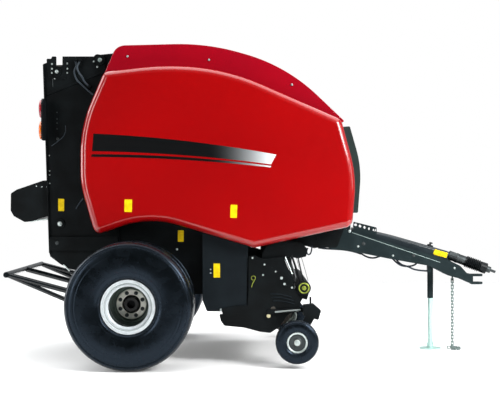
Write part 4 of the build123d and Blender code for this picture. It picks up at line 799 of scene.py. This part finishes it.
class BALER_OT_stripes(bpy.types.Operator):
    """The broad and the fine stripe along each side shield"""
    bl_idname = "baler.stripes"
    bl_label = "Stripes"

    def execute(self, context):
        thickness = context.scene.baler_sizes.film
        offset = (TYRE_MIDDLE.x, 0)
        edges = ((BROAD_LOW, BROAD_HIGH), (FINE_LOW, FINE_HIGH))
        bands = [ribbon(bowed(*low) + offset, bowed(*high) + offset, SHIELD_FACE - FILM_SUNK,
                        SHIELD_FACE + thickness) for low, high in edges]
        for side in SIDES:
            piece(f"stripes_{side}", handed(bands, side), "stripe film", f"shield_{side}")
        return {"FINISHED"}


PLATE_CORNER = 0.005
PLATE_BEVEL = 0.0003
# Blank plates: name, body, left column, top row, right column, bottom row, distance out, tilt in degrees
BLANK_PLATES = (
    ("plate_gate", "tailgate", 58.2, 198.8, 64.2, 211.0, GATE_FACE, 0),
    ("plate_shield_rear", "shield_right", 124.4, 199.5, 132.0, 212.0, SHIELD_FACE, -1),
    ("plate_shield_front", "shield_right", 230.4, 204.8, 237.1, 217.9, SHIELD_FACE, -2),
    ("plate_arch", "root", 177.8, 230.3, 183.7, 241.8, SHEET_FACE, 0),
    ("plate_cover", "root", 213.5, 263.5, 220.0, 277.5, COVER_FACE, 0),
    ("plate_guard", "root", 433.6, 250.9, 447.4, 256.2, GUARD_FACE, -16),
)


class BALER_OT_blank_plates(bpy.types.Operator):
    """The small yellow plates on the right-hand side, all blank"""
    bl_idname = "baler.blank_plates"
    bl_label = "Blank plates"

    def execute(self, context):
        thickness = context.scene.baler_sizes.film
        for name, body, left, top, right, bottom, out, tilt in BLANK_PLATES:
            low, high = photo_point(left, bottom, out), photo_point(right, top, out)
            middle, width, height = (low + high) / 2, high[0] - low[0], high[2] - low[2]
            outline = rounded_rectangle((middle[0], middle[2]), width, height, PLATE_CORNER,
                                        math.radians(tilt))
            plate = slab(outline, out - FILM_SUNK, out + thickness, PLATE_BEVEL)
            piece(name, [plate], "plate film", body)
        return {"FINISHED"}


# Bolt heads: name, finish and body, then for each distance out every head's column, row and radius
BOLTS = (
    ("gate_bolts", "zinc plate", "tailgate", (
        (GATE_FACE, ((54.7, 78.3, 0.006), (93.9, 61.4, 0.006), (97.2, 66.8, 0.006), (67.2, 63.5, 0.006),
                     (67.2, 68.7, 0.006), (67.2, 72.8, 0.005), (49.3, 155.5, 0.004), (49.6, 171.0, 0.004),
                     (49.6, 175.0, 0.004), (49.8, 183.5, 0.004))),
        (GATE_FACE + 0.006, ((52.0, 64.1, 0.006), (52.0, 68.8, 0.006), (52.0, 72.9, 0.006))),
    )),
    ("gate_dark_bolts", "dark zinc and shade", "tailgate", (
        (GATE_RAIL_FACE, ((57.0, 243.0, 0.012),)),
        (GATE_FACE, ((57.0, 112.4, 0.005), (57.0, 119.0, 0.005), (57.0, 123.0, 0.005), (57.0, 128.8, 0.005),
                     (57.7, 139.0, 0.010))),
    )),
    ("net_box_bolts", "zinc plate", "tailgate", (
        (NET_BOX_FACE, ((36.5, 186.2, 0.004), (42.0, 186.8, 0.004), (47.0, 186.8, 0.004))),
    )),
    ("frame_bolts", "zinc plate", "root", (
        (SHEET_FACE, ((177.0, 249.3, 0.007),)),
        (COVER_FACE, ((210.6, 269.4, 0.005), (210.6, 273.0, 0.005), (237.6, 309.4, 0.009),
                      (221.0, 309.8, 0.009))),
    )),
    ("pickup_bolts", "zinc plate", "pickup", (
        (PICKUP_FACE, ((252.5, 258.0, 0.006), (264.5, 264.5, 0.006), (275.6, 271.6, 0.005),
                       (263.0, 275.0, 0.006), (281.5, 278.0, 0.009), (284.5, 284.0, 0.008),
                       (292.0, 287.6, 0.007))),
    )),
    ("tongue_bolts", "zinc plate", "root", (
        (TONGUE_FACE, ((358.2, 246.4, 0.007), (393.0, 255.5, 0.007), (454.5, 268.0, 0.007),
                       (349.6, 231.2, 0.010))),
    )),
    # Dark heads that paint the shade in two holes in the tongue
    ("tongue_hole_shades", "dark zinc and shade", "root", (
        (TONGUE_FACE, ((363.6, 243.7, 0.012), (413.8, 255.5, 0.011))),
    )),
)
# Bolts through the upper panels, X and Z in metres from the axle
PANEL_BOLTS = ((-0.052, 2.680), (0.657, 2.649), (1.379, 2.434))
PANEL_BOLT_RADIUS = 0.007


class BALER_OT_fasteners(bpy.types.Operator):
    """Bolt heads on the sheets, covers, pick-up and drawbar"""
    bl_idname = "baler.fasteners"
    bl_label = "Fasteners"

    def execute(self, context):
        for name, finish, body, runs in BOLTS:
            heads = [(column, row, out, radius) for out, rows in runs for column, row, radius in rows]
            places = [photo_point(column, row, out) for column, row, out, radius in heads]
            radii = [radius for column, row, out, radius in heads]
            piece(name, paired([copies(hexagon_head(), places, radii)]), finish, body)
        places = [from_axle(x, -PANEL_BOLT_FACE, z) for x, z in PANEL_BOLTS]
        panel_bolts = copies(hexagon_head(), places, PANEL_BOLT_RADIUS)
        piece("panel_bolts", paired([panel_bolts]), "zinc plate", "root")
        return {"FINISHED"}


# The tailgate rolls whose bearing nuts show: X and Z in metres from the axle, and the nut's radius
GATE_NUTS = ((-0.683, 2.556, 0.012), (-0.655, 1.221, 0.015))
# The tailgate's hinge pin: its place, and its end's section as radius and height
HINGE_PLACE = (-0.305, 2.660)
HINGE_END = ((0.018, -0.004), (0.018, 0.004), (0.013, 0.007), (0.003, 0.008))
# Lines on the tailgate's right-hand sheet: column and row
THIN_HOSE = ((65.5, 125.5), (66.8, 133.7), (57.3, 142.0), (51.5, 146.0))
HOSE_END = ((83.0, 198.5), (79.5, 203.0), (76.0, 209.0))
GATE_STRAP = ((52.8, 79.0), (52.8, 83.0), (52.8, 87.0))
CORNER_STOP = ((63.4, 264.6), (66.0, 267.4), (69.6, 271.0))
NET_ROD = ((30.5, 221.5), (39.0, 220.0), (47.6, 218.8))
# Name, line, distance out, radius, finish, slot, and whether the left side has it too
GATE_LINES = (
    ("gate_thin_hose", THIN_HOSE, GATE_FACE + 0.004, 0.004, "light hose", "black_plastic", False),
    ("gate_hose_end", HOSE_END, GATE_FACE + 0.006, 0.006, "light hose", "black_plastic", False),
    ("gate_strap", GATE_STRAP, GATE_FACE + 0.002, 0.003, "dark zinc and shade", "zinc", True),
    ("corner_stop", CORNER_STOP, GATE_FACE + 0.005, 0.006, "zinc plate", "zinc", True),
    ("net_rod", NET_ROD, NET_BOX_FACE - 0.012, 0.006, "zinc plate", "zinc", True),
)


def photo_tube(places, out, radius):
    """A round bar along columns and rows of the photograph, at one distance out."""
    return tube(rounded([photo_point(column, row, out) for column, row in places]), radius, 8)


def photo_slab(places, out_low, out_high):
    """A right-hand plate whose outline is given by columns and rows of the photograph."""
    outline = [photo_point(column, row, out_high)[[0, 2]] for column, row in places]
    return slab(outline, out_low, out_high, 0.001)


class BALER_OT_tailgate_trim(bpy.types.Operator):
    """Bearing nuts, hinge pins, small hoses, strap, corner stop and net rod of the tailgate"""
    bl_idname = "baler.tailgate_trim"
    bl_label = "Tailgate trim"

    def execute(self, context):
        places = [from_axle(x, -GATE_CAP_FACE, z) for x, z, radius in GATE_NUTS]
        nuts = copies(hexagon_head(), places, [radius for x, z, radius in GATE_NUTS])
        hinge_end = lathe(HINGE_END, from_axle(HINGE_PLACE[0], -HINGE_FACE, HINGE_PLACE[1]), steps=24)
        piece("bearing_nuts", paired([nuts]), "zinc plate", "tailgate")
        piece("hinge_ends", paired([hinge_end]), "old zinc and highlight", "root")
        for name, line, out, radius, finish, slot, both in GATE_LINES:
            shapes = [photo_tube(line, out, radius)]
            piece(name, paired(shapes) if both else shapes, finish, "tailgate")
        return {"FINISHED"}


# Pick-up details: column and row
CHEEK = (
    (255.0, 256.0), (264.0, 259.0), (283.0, 257.0), (286.0, 263.0), (291.5, 276.0), (296.0, 283.0),
    (288.0, 284.0), (270.0, 272.0),
)
SKID_RAIL = (
    (221.5, 309.0), (234.0, 306.0), (251.0, 305.0), (251.0, 316.5), (236.0, 316.5), (222.5, 315.0),
)
# How thick these plates are, and how far their fronts lie behind the pick-up's face
PICKUP_PLATE = 0.006
PLATE_BEHIND = 0.001
LATCH_RING = (253.4, 278.0)
LATCH_RADII = (0.018, 0.0025)
LATCH_STEM = ((254.6, 280.5), (252.3, 283.0), (251.6, 287.2))
STEM_RADIUS = 0.003
LATCH_OUT = PICKUP_FACE + 0.006
COVER_STRUT = ((285.2, 257.0), (288.5, 265.5), (292.0, 274.0))
STRUT_OUT = GUARD_ARM_FACE + 0.004
EDGE_BAR = ((275.0, 312.0), (289.0, 310.8), (300.5, 309.8))
# The radius of the strut and of the edge bar
BAR_RADIUS = 0.008
CREAM_KNOB = (268.5, 315.8)
GUARD_RIBS = (
    ((270.5, 294.0), (280.0, 293.2), (292.0, 297.5)),
    ((271.5, 297.5), (281.5, 296.6), (293.5, 301.0)),
    ((273.0, 301.0), (283.0, 300.2), (294.5, 304.2)),
)
GUARD_RIB_OUT = PICKUP_FACE + 0.002
GUARD_RIB_RADIUS = 0.006
# Turned sections: radius, height off the face
KNOB_SECTION = (
    (0.008, -0.004), (0.008, 0.010), (0.017, 0.014), (0.017, 0.022), (0.012, 0.026), (0.002, 0.027),
)
ROLLER_DISH = (
    (0.0300, -0.0020), (0.0600, -0.0010), (0.0605, 0.0090), (0.0570, 0.0120), (0.0500, 0.0120),
    (0.0485, 0.0100), (0.0300, 0.0095),
)
ROLLER_RIM = (
    (0.0360, 0.0080), (0.0370, 0.0135), (0.0400, 0.0150), (0.0450, 0.0150), (0.0480, 0.0130),
    (0.0485, 0.0080),
)
ROLLER_HUB = ((0.0200, 0.0080), (0.0200, 0.0140), (0.0150, 0.0190), (0.0030, 0.0200))


def ring_facing_right(middle, radius, wire_radius, steps=24, wire_steps=8):
    """A ring of round wire about Y: a small circle carried round a large one."""
    around, across = full_turn(steps)[:, None], full_turn(wire_steps)
    reach = radius + wire_radius * np.cos(across)
    x, z = reach * np.cos(around), reach * np.sin(around)
    y = np.broadcast_to(wire_radius * np.sin(across), x.shape)
    return stacked(np.stack([x, y, z], axis=-1) + middle, wrap=True)


class BALER_OT_pickup_trim(bpy.types.Operator):
    """Latch, knob, edge bar, ribs, plates and strut of the pick-up, and the crop roller's dust shields"""
    bl_idname = "baler.pickup_trim"
    bl_label = "Pick-up trim"

    def execute(self, context):
        latch = [ring_facing_right(photo_point(*LATCH_RING, LATCH_OUT), *LATCH_RADII),
                 photo_tube(LATCH_STEM, LATCH_OUT, STEM_RADIUS)]
        knob = lathe(KNOB_SECTION, photo_point(*CREAM_KNOB, PICKUP_FACE), steps=24)
        ribs = [photo_tube(rib, GUARD_RIB_OUT, GUARD_RIB_RADIUS) for rib in GUARD_RIBS]
        front = PICKUP_FACE - PLATE_BEHIND
        plates = [photo_slab(outline, front - PICKUP_PLATE, front) for outline in (CHEEK, SKID_RAIL)]
        strut = photo_tube(COVER_STRUT, STRUT_OUT, BAR_RADIUS)
        edge_bar = photo_tube(EDGE_BAR, GAUGE_BAR_FACE, BAR_RADIUS)
        piece("latch", paired(latch), "yellow zinc", "pickup")
        piece("knob", paired([knob]), "cream plastic", "pickup")
        piece("edge_bar", paired([edge_bar]), "zinc plate", "pickup")
        piece("guard_ribs", paired(ribs), "cover coat", "pickup")
        piece("pickup_plates", paired(plates), "frame coat and shade", "pickup")
        piece("guard_strut", paired([strut]), "zinc plate", "windguard")
        centre = np.array((ROLLER_MIDDLE.x, -GUARD_ARM_FACE, ROLLER_MIDDLE.z))
        rings = [lathe(ROLLER_RIM, centre, wrap=True), lathe(ROLLER_HUB, centre, steps=24)]
        piece("roller_shields", paired([lathe(ROLLER_DISH, centre)]), "guard plastic", "windguard")
        piece("roller_rings", paired(rings), "yellow zinc", "windguard")
        return {"FINISHED"}


# The windguard's right-hand arm: column and row
GUARD_ARM = (
    (261.5, 266.5), (262.5, 253.0), (267.0, 246.0), (283.0, 240.0), (301.0, 243.0), (308.0, 249.0),
    (306.0, 256.5), (298.0, 258.5), (291.0, 257.0), (284.0, 260.0), (268.0, 269.0),
)
GUARD_ARM_PLATE = 0.008
# How far behind the arm's face its cross tube and its rods lie
GUARD_TUBE_BEHIND = 0.004
RODS_BEHIND = 0.006
# The rods under the arm: columns and rows, then the radius
GUARD_RODS = (
    (((291.5, 255.0), (296.0, 268.0), (300.5, 281.5)), 0.009),
    (((297.6, 256.0), (300.5, 269.0), (304.0, 283.5)), 0.006),
    (((300.6, 255.0), (304.5, 267.0), (308.0, 281.0)), 0.002),
)
# The arm's pin: X and Z from the axle, its radius, and where its end lies, just inside the pick-up's plate
WINDGUARD_PIN = (1.140, 0.871)
PIN_RADIUS = 0.012
PIN_END = PICKUP_FACE - 0.008
# The eye round the crop roller's axle, and where that axle starts and ends
ROLLER_EYE = 0.038
ROLLER_AXLE = (ROLLER_HIGH.y - 0.05, GUARD_ARM_FACE - 0.002)
# The dark plate that paints the shade below the right shield's front end, and the hoses there: column and row
FRONT_SHADE_PLATE = (
    (286.0, 236.0), (332.0, 228.0), (326.0, 246.0), (314.0, 248.3), (306.5, 246.0), (299.0, 246.3),
    (291.0, 243.0),
)
SHADE_PLATE_THICKNESS = 0.010
SHADE_PLATE_BEHIND = 0.004
HOSE_LOOPS = (
    ((312.0, 246.0), (311.6, 251.6), (309.4, 255.0), (306.6, 253.8), (306.2, 248.0)),
    ((308.0, 248.0), (304.0, 253.6), (298.0, 255.6)),
)
LOOP_OUT = 0.862
LOOP_RADIUS = 0.006


class BALER_OT_windguard_arms(bpy.types.Operator):
    """The windguard's arms, rods, cross tube and pins"""
    bl_idname = "baler.windguard_arms"
    bl_label = "Windguard arms"

    def execute(self, context):
        face, back, inside = (GUARD_ARM_FACE - depth for depth in (0, GUARD_ARM_PLATE, GUARD_TUBE_BEHIND))
        arm = photo_slab(GUARD_ARM, back, face)
        rods = [photo_tube(run, face - RODS_BEHIND, radius) for run, radius in GUARD_RODS]
        roller = (ROLLER_MIDDLE.x, 0, ROLLER_MIDDLE.z)
        pin = lathe([(PIN_RADIUS, inside), (PIN_RADIUS, PIN_END)],
                    from_axle(WINDGUARD_PIN[0], 0, WINDGUARD_PIN[1]))
        eye = lathe([(ROLLER_EYE, back), (ROLLER_EYE, face)], roller, steps=32)
        axle = lathe([(PIN_RADIUS, out) for out in ROLLER_AXLE], roller, steps=24)
        tube_x, tube_z, tube_radius = GUARD_TUBE
        cross = lathe([(tube_radius, -inside), (tube_radius, inside)], from_axle(tube_x, 0, tube_z))
        piece("windguard_frame", [cross, *paired([arm, *rods, pin, eye, axle])], "frame coat and shade", "windguard",
              replaces=["windguard"])
        return {"FINISHED"}


class BALER_OT_front_shade_plate(bpy.types.Operator):
    """The dark plates that paint the shade under the shields' front ends, and the right one's hose loops"""
    bl_idname = "baler.front_skirt"
    bl_label = "Front shade plate"

    def execute(self, context):
        front = SHEET_FACE - SHADE_PLATE_BEHIND
        # A dark plate standing in for the shade under the shield's front end
        shade_plate = photo_slab(FRONT_SHADE_PLATE, front - SHADE_PLATE_THICKNESS, front)
        loops = [photo_tube(run, LOOP_OUT, LOOP_RADIUS) for run in HOSE_LOOPS]
        piece("front_shade_plate", paired([shade_plate]), "frame coat and shade", "root")
        piece("hose_loops", loops, "hose rubber", "root")
        return {"FINISHED"}


# Drawbar details: column and row
# The pale bead sits on the edge where the guard meets the tongue; its paleness is a painted highlight
TONGUE_HIGHLIGHT_LINE = ((352.0, 232.6), (396.0, 247.4), (440.0, 262.4))
HIGHLIGHT_BEAD_RADIUS = 0.003
GUARD_BUMP = (429.4, 245.6)
DRAWBAR_HOSES = (
    ((318.0, 247.6), (324.0, 248.6), (332.0, 249.0), (344.0, 249.6), (356.0, 252.0), (361.0, 254.0)),
    ((361.0, 253.4), (366.0, 257.0), (374.0, 258.4), (380.0, 256.0), (385.0, 255.4)),
    ((392.0, 258.0), (397.0, 263.6), (404.0, 266.6), (413.0, 266.0), (417.4, 263.0), (418.0, 260.0)),
    ((396.0, 259.0), (400.0, 264.6), (408.0, 266.4), (416.0, 270.6), (429.0, 271.0)),
)
HOSE_OUT = 0.060
HOSE_RADIUS = 0.008
# The guard's dome: radius and height, and how far it leans forward in degrees
BUMP_SECTION = ((0.024, -0.020), (0.024, 0.004), (0.020, 0.010), (0.010, 0.014), (0.002, 0.015))
BUMP_LEAN = math.radians(17)
# Holes along the top edge of the drawbar's guard: column and row
VENT_HOLES = ((355.4, 225.2), (359.7, 226.3), (364.0, 227.5), (368.3, 228.7), (372.5, 229.9))
# The strip round them: half height, hole radius, distances out of its back and front, and its slope
VENT_HALF = 0.0205
VENT_HOLE = 0.0150
VENT_BACK, VENT_FRONT = 0.050, 0.056
VENT_TILT = -math.radians(15.5)
# The guard's channel: column and row of the top edge, then its shoulder's height and its drop in metres
TUNNEL_TOP = ((352.0, 227.4), (378.0, 231.2), (412.0, 240.8), (448.0, 251.2))
TUNNEL_SHOULDER = 0.030
TUNNEL_DROP = 0.110
ARCH_POINTS = 13


def vent_cell(middle, steps=24):
    """One cell of a perforated strip: square rings outside and round rings inside, front and back."""
    angle = full_turn(steps) + math.pi / 4
    turned = angle - VENT_TILT
    square = VENT_HALF / np.maximum(np.abs(np.cos(turned)), np.abs(np.sin(turned)))
    hole = np.full(steps, VENT_HOLE)
    rows = ((square, VENT_FRONT), (hole, VENT_FRONT), (hole, VENT_BACK), (square, VENT_BACK))
    rings = [np.column_stack([middle[0] + r * np.cos(angle), np.full(steps, -out),
                              middle[2] + r * np.sin(angle)]) for r, out in rows]
    return stacked(rings, wrap=True)


def tunnel_channel():
    """The guard's channel: feet and a half ellipse across, carried along the rounded top edge."""
    line = rounded([photo_point(column, row, GUARD_FACE) for column, row in TUNNEL_TOP], 8)
    angle = np.linspace(0, math.pi, ARCH_POINTS)
    arch = np.column_stack([0 * angle, GUARD_FACE * np.cos(angle), TUNNEL_SHOULDER * (np.sin(angle) - 1)])
    arch = np.vstack([[(0, GUARD_FACE, -TUNNEL_DROP)], arch, [(0, -GUARD_FACE, -TUNNEL_DROP)]])
    return stacked(line[:, None, :] * (1, 0, 1) + arch[None])


class BALER_OT_drawbar_trim(bpy.types.Operator):
    """Pale bead painting the highlight on the tongue's top edge, looped hoses, tunnel guard with its
    perforated strip, and dome of the drawbar
    """
    bl_idname = "baler.drawbar_trim"
    bl_label = "Drawbar trim"

    def execute(self, context):
        # A pale bead that paints the highlight along the tongue's top edge
        highlight_bead = photo_tube(TONGUE_HIGHLIGHT_LINE, TONGUE_FACE, HIGHLIGHT_BEAD_RADIUS)
        upright = (math.sin(BUMP_LEAN), 0, math.cos(BUMP_LEAN))
        bump = lathe(BUMP_SECTION, photo_point(*GUARD_BUMP, 0.0), upright, steps=24)
        hoses = [photo_tube(run, HOSE_OUT, HOSE_RADIUS) for run in DRAWBAR_HOSES]
        middle_out = (VENT_BACK + VENT_FRONT) / 2
        cells = [vent_cell(photo_point(column, row, middle_out)) for column, row in VENT_HOLES]
        piece("drawbar_highlight_bead", paired([highlight_bead]), "old zinc and highlight", "root")
        piece("guard_bump", [bump], "guard plastic", "root")
        piece("looped_hoses", hoses, "hose rubber", "root", replaces=["drawbar_hoses"])
        piece("tunnel_guard", [tunnel_channel()], "tunnel coat", "root",
              replaces=["driveline_guard"])
        piece("guard_vent", cells, "guard plastic", "root")
        return {"FINISHED"}


# The power shaft's bellows and collar, along the shaft: radius, distance from its start
BELLOWS_BACK = ((0.034, 0.178), (0.045, 0.178))
BELLOWS_MOUTH = ((0.050, 0.335), (0.052, 0.398), (0.048, 0.400), (0.037, 0.400), (0.037, 0.330))
COLLAR_SECTION = (
    (0.0310, 0.0200), (0.0430, 0.0200), (0.0440, 0.0240), (0.0440, 0.0900), (0.0465, 0.0940),
    (0.0465, 0.1100), (0.0440, 0.1140), (0.0440, 0.1900), (0.0310, 0.1900),
)
# The ribs: mean radius, height, widening, where they start and how far they go
RIB_RADIUS, RIB_HEIGHT, RIB_WIDENING = 0.0500, 0.0058, 0.0010
RIB_START, RIB_RUN = 0.190, 0.140
POINTS_PER_RIB = 8


class BALER_OT_shaft_bellows(bpy.types.Operator):
    """The power shaft's collar and its ribbed bellows"""
    bl_idname = "baler.shaft_bellows"
    bl_label = "Shaft bellows"

    def execute(self, context):
        ribs = context.scene.baler_sizes.bellows
        start = from_axle(SHAFT_START[0], 0, SHAFT_START[1])
        axis = (math.cos(SHAFT_TILT), 0, -math.sin(SHAFT_TILT))
        # Between its collar and its mouth the bellows' radius is a wave with one crest for each rib
        along = np.linspace(0, 1, ribs * POINTS_PER_RIB + 1)
        crests = np.sin(2 * math.pi * ribs * along - math.pi / 2)
        wave = RIB_RADIUS + RIB_HEIGHT * crests + RIB_WIDENING * along
        rows = np.vstack([BELLOWS_BACK, np.column_stack([wave, RIB_START + RIB_RUN * along]), BELLOWS_MOUTH])
        piece("shaft_bellows", [lathe(rows, start, axis, steps=40)], "guard plastic", "root",
              replaces=["shaft_guard"])
        piece("shaft_collar", [lathe(COLLAR_SECTION, start, axis, steps=40)], "dark zinc and shade", "root")
        return {"FINISHED"}


# Belts on the tailgate: how many, their pitch and width, and where each joint lies
BELTS = 7
BELT_PITCH = 0.214
BELT_WIDTH = 0.178
LACE_X = -0.7405
LACE_Z = 2.050
# A staple's wire radius, its depth over the belt, half its height and the points along it, and the belt's
# bare edges together
STAPLE_WIRE = 0.0022
STAPLE_DEPTH = 0.0035
STAPLE_HALF = 0.016
STAPLE_POINTS = 5
BELT_MARGIN = 0.02


class BALER_OT_belt_laces(bpy.types.Operator):
    """The row of staples that joins each tailgate belt"""
    bl_idname = "baler.belt_laces"
    bl_label = "Belt laces"

    def execute(self, context):
        count = context.scene.baler_sizes.staples
        angle = np.linspace(0, math.pi, STAPLE_POINTS)
        path = np.column_stack([-STAPLE_DEPTH * np.sin(angle), 0 * angle, STAPLE_HALF * np.cos(angle)])
        staple = tube(path, STAPLE_WIRE, 6)
        belt = (np.arange(BELTS) - (BELTS - 1) / 2) * BELT_PITCH
        across = ((np.arange(count) + 0.5) / count - 0.5) * (BELT_WIDTH - BELT_MARGIN)
        y = (belt[:, None] + across[None, :]).ravel()
        places = np.column_stack([np.full(len(y), TYRE_MIDDLE.x + LACE_X), y, np.full(len(y), LACE_Z)])
        piece("belt_laces", [copies(staple, places)], "zinc plate", "tailgate")
        return {"FINISHED"}


# Lamps: heights, how far out their centres are, and the plane their lenses stand on, in metres
LAMP_HEIGHTS = (2.222, 2.037)
LAMP_OUT = 0.910
LAMP_BACK = -0.790
# The carrier's width, height and corner
CARRIER = (0.170, 0.362, 0.05)
# The lens's section: radius, distance behind the carrier
LENS_DOME = (
    (0.0780, -0.0020), (0.0800, 0.0150), (0.0770, 0.0210), (0.0600, 0.0250), (0.0300, 0.0272),
    (0.0040, 0.0278),
)


class BALER_OT_tail_lamps(bpy.types.Operator):
    """The tail lamps' carriers and their deep round lenses"""
    bl_idname = "baler.tail_lamps"
    bl_label = "Tail lamps"

    def execute(self, context):
        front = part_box("tail_lamps_right")[1].x
        back = from_axle(LAMP_BACK, 0, 0)[0]
        outline = rounded_rectangle((LAMP_OUT, sum(LAMP_HEIGHTS) / 2), *CARRIER, steps=8)
        carrier = stacked([np.column_stack([np.full(len(outline), x), -outline[:, 0], outline[:, 1]])
                           for x in (front, back)])
        domes = [lathe(LENS_DOME, (back, -LAMP_OUT, height), (-1, 0, 0), steps=64) for height in LAMP_HEIGHTS]
        for side in SIDES:
            piece(f"lamp_carrier_{side}", handed([carrier], side), "guard plastic", "tailgate",
                  replaces=[f"tail_lamps_{side}"])
            piece(f"lamp_glass_{side}", handed(domes, side), "lamp acrylic", "tailgate",
                  replaces=[f"lamp_lenses_{side}"])
        return {"FINISHED"}


# Lights: name, X, Y and Z in metres from the axle, width, height, power, and the point it faces
LIGHTS = (
    ("key", (6.2, -5.4, 4.6), 3.0, 3.0, 780, (2.0, -1.0, 1.4)),
    ("top", (0.6, 1.0, 10.0), 16.0, 13.0, 1800, (0.6, 1.0, 0.0)),
    ("rear_strip", (-5.6, -7.6, 2.6), 2.2, 5.0, 250, (-0.4, -1.0, 1.8)),
    ("front", (8.5, -3.0, 3.0), 3.0, 3.0, 80, (1.6, 0.0, 1.2)),
    ("rear", (-7.2, 0.4, 3.6), 4.6, 6.0, 460, (0.0, 0.0, 1.6)),
)
# The paper floor: its corners from the origin, and its glow
FLOOR_LOW, FLOOR_HIGH = (-10, -4.5), (12, 9)
FLOOR_GLOW = 0.06
SENSOR_WIDTH = 36


def make_world():
    """White to the camera; to the machine, soft light from overhead and behind and little from in front."""
    world = bpy.data.worlds.new("studio")
    world.use_nodes = True
    tree = world.node_tree
    tree.nodes.clear()
    seen = node(tree, "ShaderNodeLightPath").outputs["Is Camera Ray"]
    way = node(tree, "ShaderNodeTexCoord").outputs["Generated"]
    height = node(tree, "ShaderNodeVectorMath", {0: way, 1: (0.0, 0.4, 1.0)}, operation="DOT_PRODUCT")
    rise = node(tree, "ShaderNodeMapRange", {"Value": height.outputs["Value"], "From Min": -0.25,
                                             "From Max": 1.0, "To Min": 0.02, "To Max": 0.5})
    soft = node(tree, "ShaderNodeBackground", {"Color": linear("#F4F8FC"),
                                               "Strength": rise.outputs["Result"]})
    white = node(tree, "ShaderNodeBackground", {"Color": (1.0, 1.0, 1.0, 1.0), "Strength": 1.0})
    both = node(tree, "ShaderNodeMixShader", {0: seen, 1: soft.outputs["Background"],
                                              2: white.outputs["Background"]})
    node(tree, "ShaderNodeOutputWorld", {"Surface": both.outputs["Shader"]})
    return world


class BALER_OT_stage(bpy.types.Operator):
    """Add the floor, the soft lights and the camera"""
    bl_idname = "baler.stage"
    bl_label = "Stage"

    def execute(self, context):
        scene = context.scene
        scene.view_settings.view_transform = "Standard"
        scene.world = make_world()
        studio_paper("studio paper", FLOOR_GLOW)
        mesh = bpy.data.meshes.new("studio_floor")
        (left, near), (right, far) = FLOOR_LOW, FLOOR_HIGH
        corners = [(left, near, 0), (right, near, 0), (right, far, 0), (left, far, 0)]
        mesh.from_pydata(corners, [], [(0, 1, 2, 3)])
        floor = bpy.data.objects.new("studio_floor", mesh)
        scene.collection.objects.link(floor)
        mesh.materials.append(MATERIALS["studio paper"])
        for name, spot, width, tall, power, target in LIGHTS:
            light = bpy.data.lights.new(name, "AREA")
            light.shape = "RECTANGLE"
            light.size, light.size_y = width, tall
            light.energy = power
            lamp = bpy.data.objects.new(name, light)
            lamp.location = from_axle(*spot)
            aim = Vector(from_axle(*target)) - lamp.location
            lamp.rotation_euler = aim.to_track_quat("-Z", "Y").to_euler()
            scene.collection.objects.link(lamp)
        camera = bpy.data.objects.new("camera", bpy.data.cameras.new("camera"))
        camera.data.sensor_width = SENSOR_WIDTH
        camera.data.lens = SENSOR_WIDTH * PHOTO_FOCAL / PHOTO_WIDTH
        camera.location = from_axle(CAMERA_FORWARD, -CAMERA_AWAY, CAMERA_HEIGHT)
        camera.rotation_euler = (math.pi / 2, 0, 0)
        scene.collection.objects.link(camera)
        scene.camera = camera
        return {"FINISHED"}


OPERATORS = (
    BALER_OT_finishes, BALER_OT_tyres, BALER_OT_wheel_fittings, BALER_OT_gauge_wheels, BALER_OT_stripes,
    BALER_OT_blank_plates, BALER_OT_fasteners, BALER_OT_tailgate_trim, BALER_OT_pickup_trim,
    BALER_OT_drawbar_trim, BALER_OT_shaft_bellows, BALER_OT_belt_laces, BALER_OT_tail_lamps,
    BALER_OT_windguard_arms, BALER_OT_front_shade_plate, BALER_OT_stage,
)


class BALER_PT_panel(bpy.types.Panel):
    """The machine's colours, sizes and steps"""
    bl_label = "Round baler"
    bl_idname = "BALER_PT_panel"
    bl_space_type = "VIEW_3D"
    bl_region_type = "UI"
    bl_category = "Baler"

    def draw(self, context):
        for group in (context.scene.baler_colours, context.scene.baler_sizes):
            for name in group.__annotations__:
                self.layout.prop(group, name)
        for operator in OPERATORS:
            self.layout.operator(operator.bl_idname)


CLASSES = (BalerColours, BalerSizes, *OPERATORS, BALER_PT_panel)


def register():
    """Add the classes and the scene's settings."""
    for item in CLASSES:
        bpy.utils.register_class(item)
    bpy.types.Scene.baler_colours = bpy.props.PointerProperty(type=BalerColours)
    bpy.types.Scene.baler_sizes = bpy.props.PointerProperty(type=BalerSizes)


def unregister():
    """Take them away again."""
    del bpy.types.Scene.baler_sizes
    del bpy.types.Scene.baler_colours
    for item in reversed(CLASSES):
        bpy.utils.unregister_class(item)


def main():
    """Run every step in order."""
    register()
    for operator in OPERATORS:
        group, step = operator.bl_idname.split(".")
        getattr(getattr(bpy.ops, group), step)()


if __name__ == "__main__":
    main()
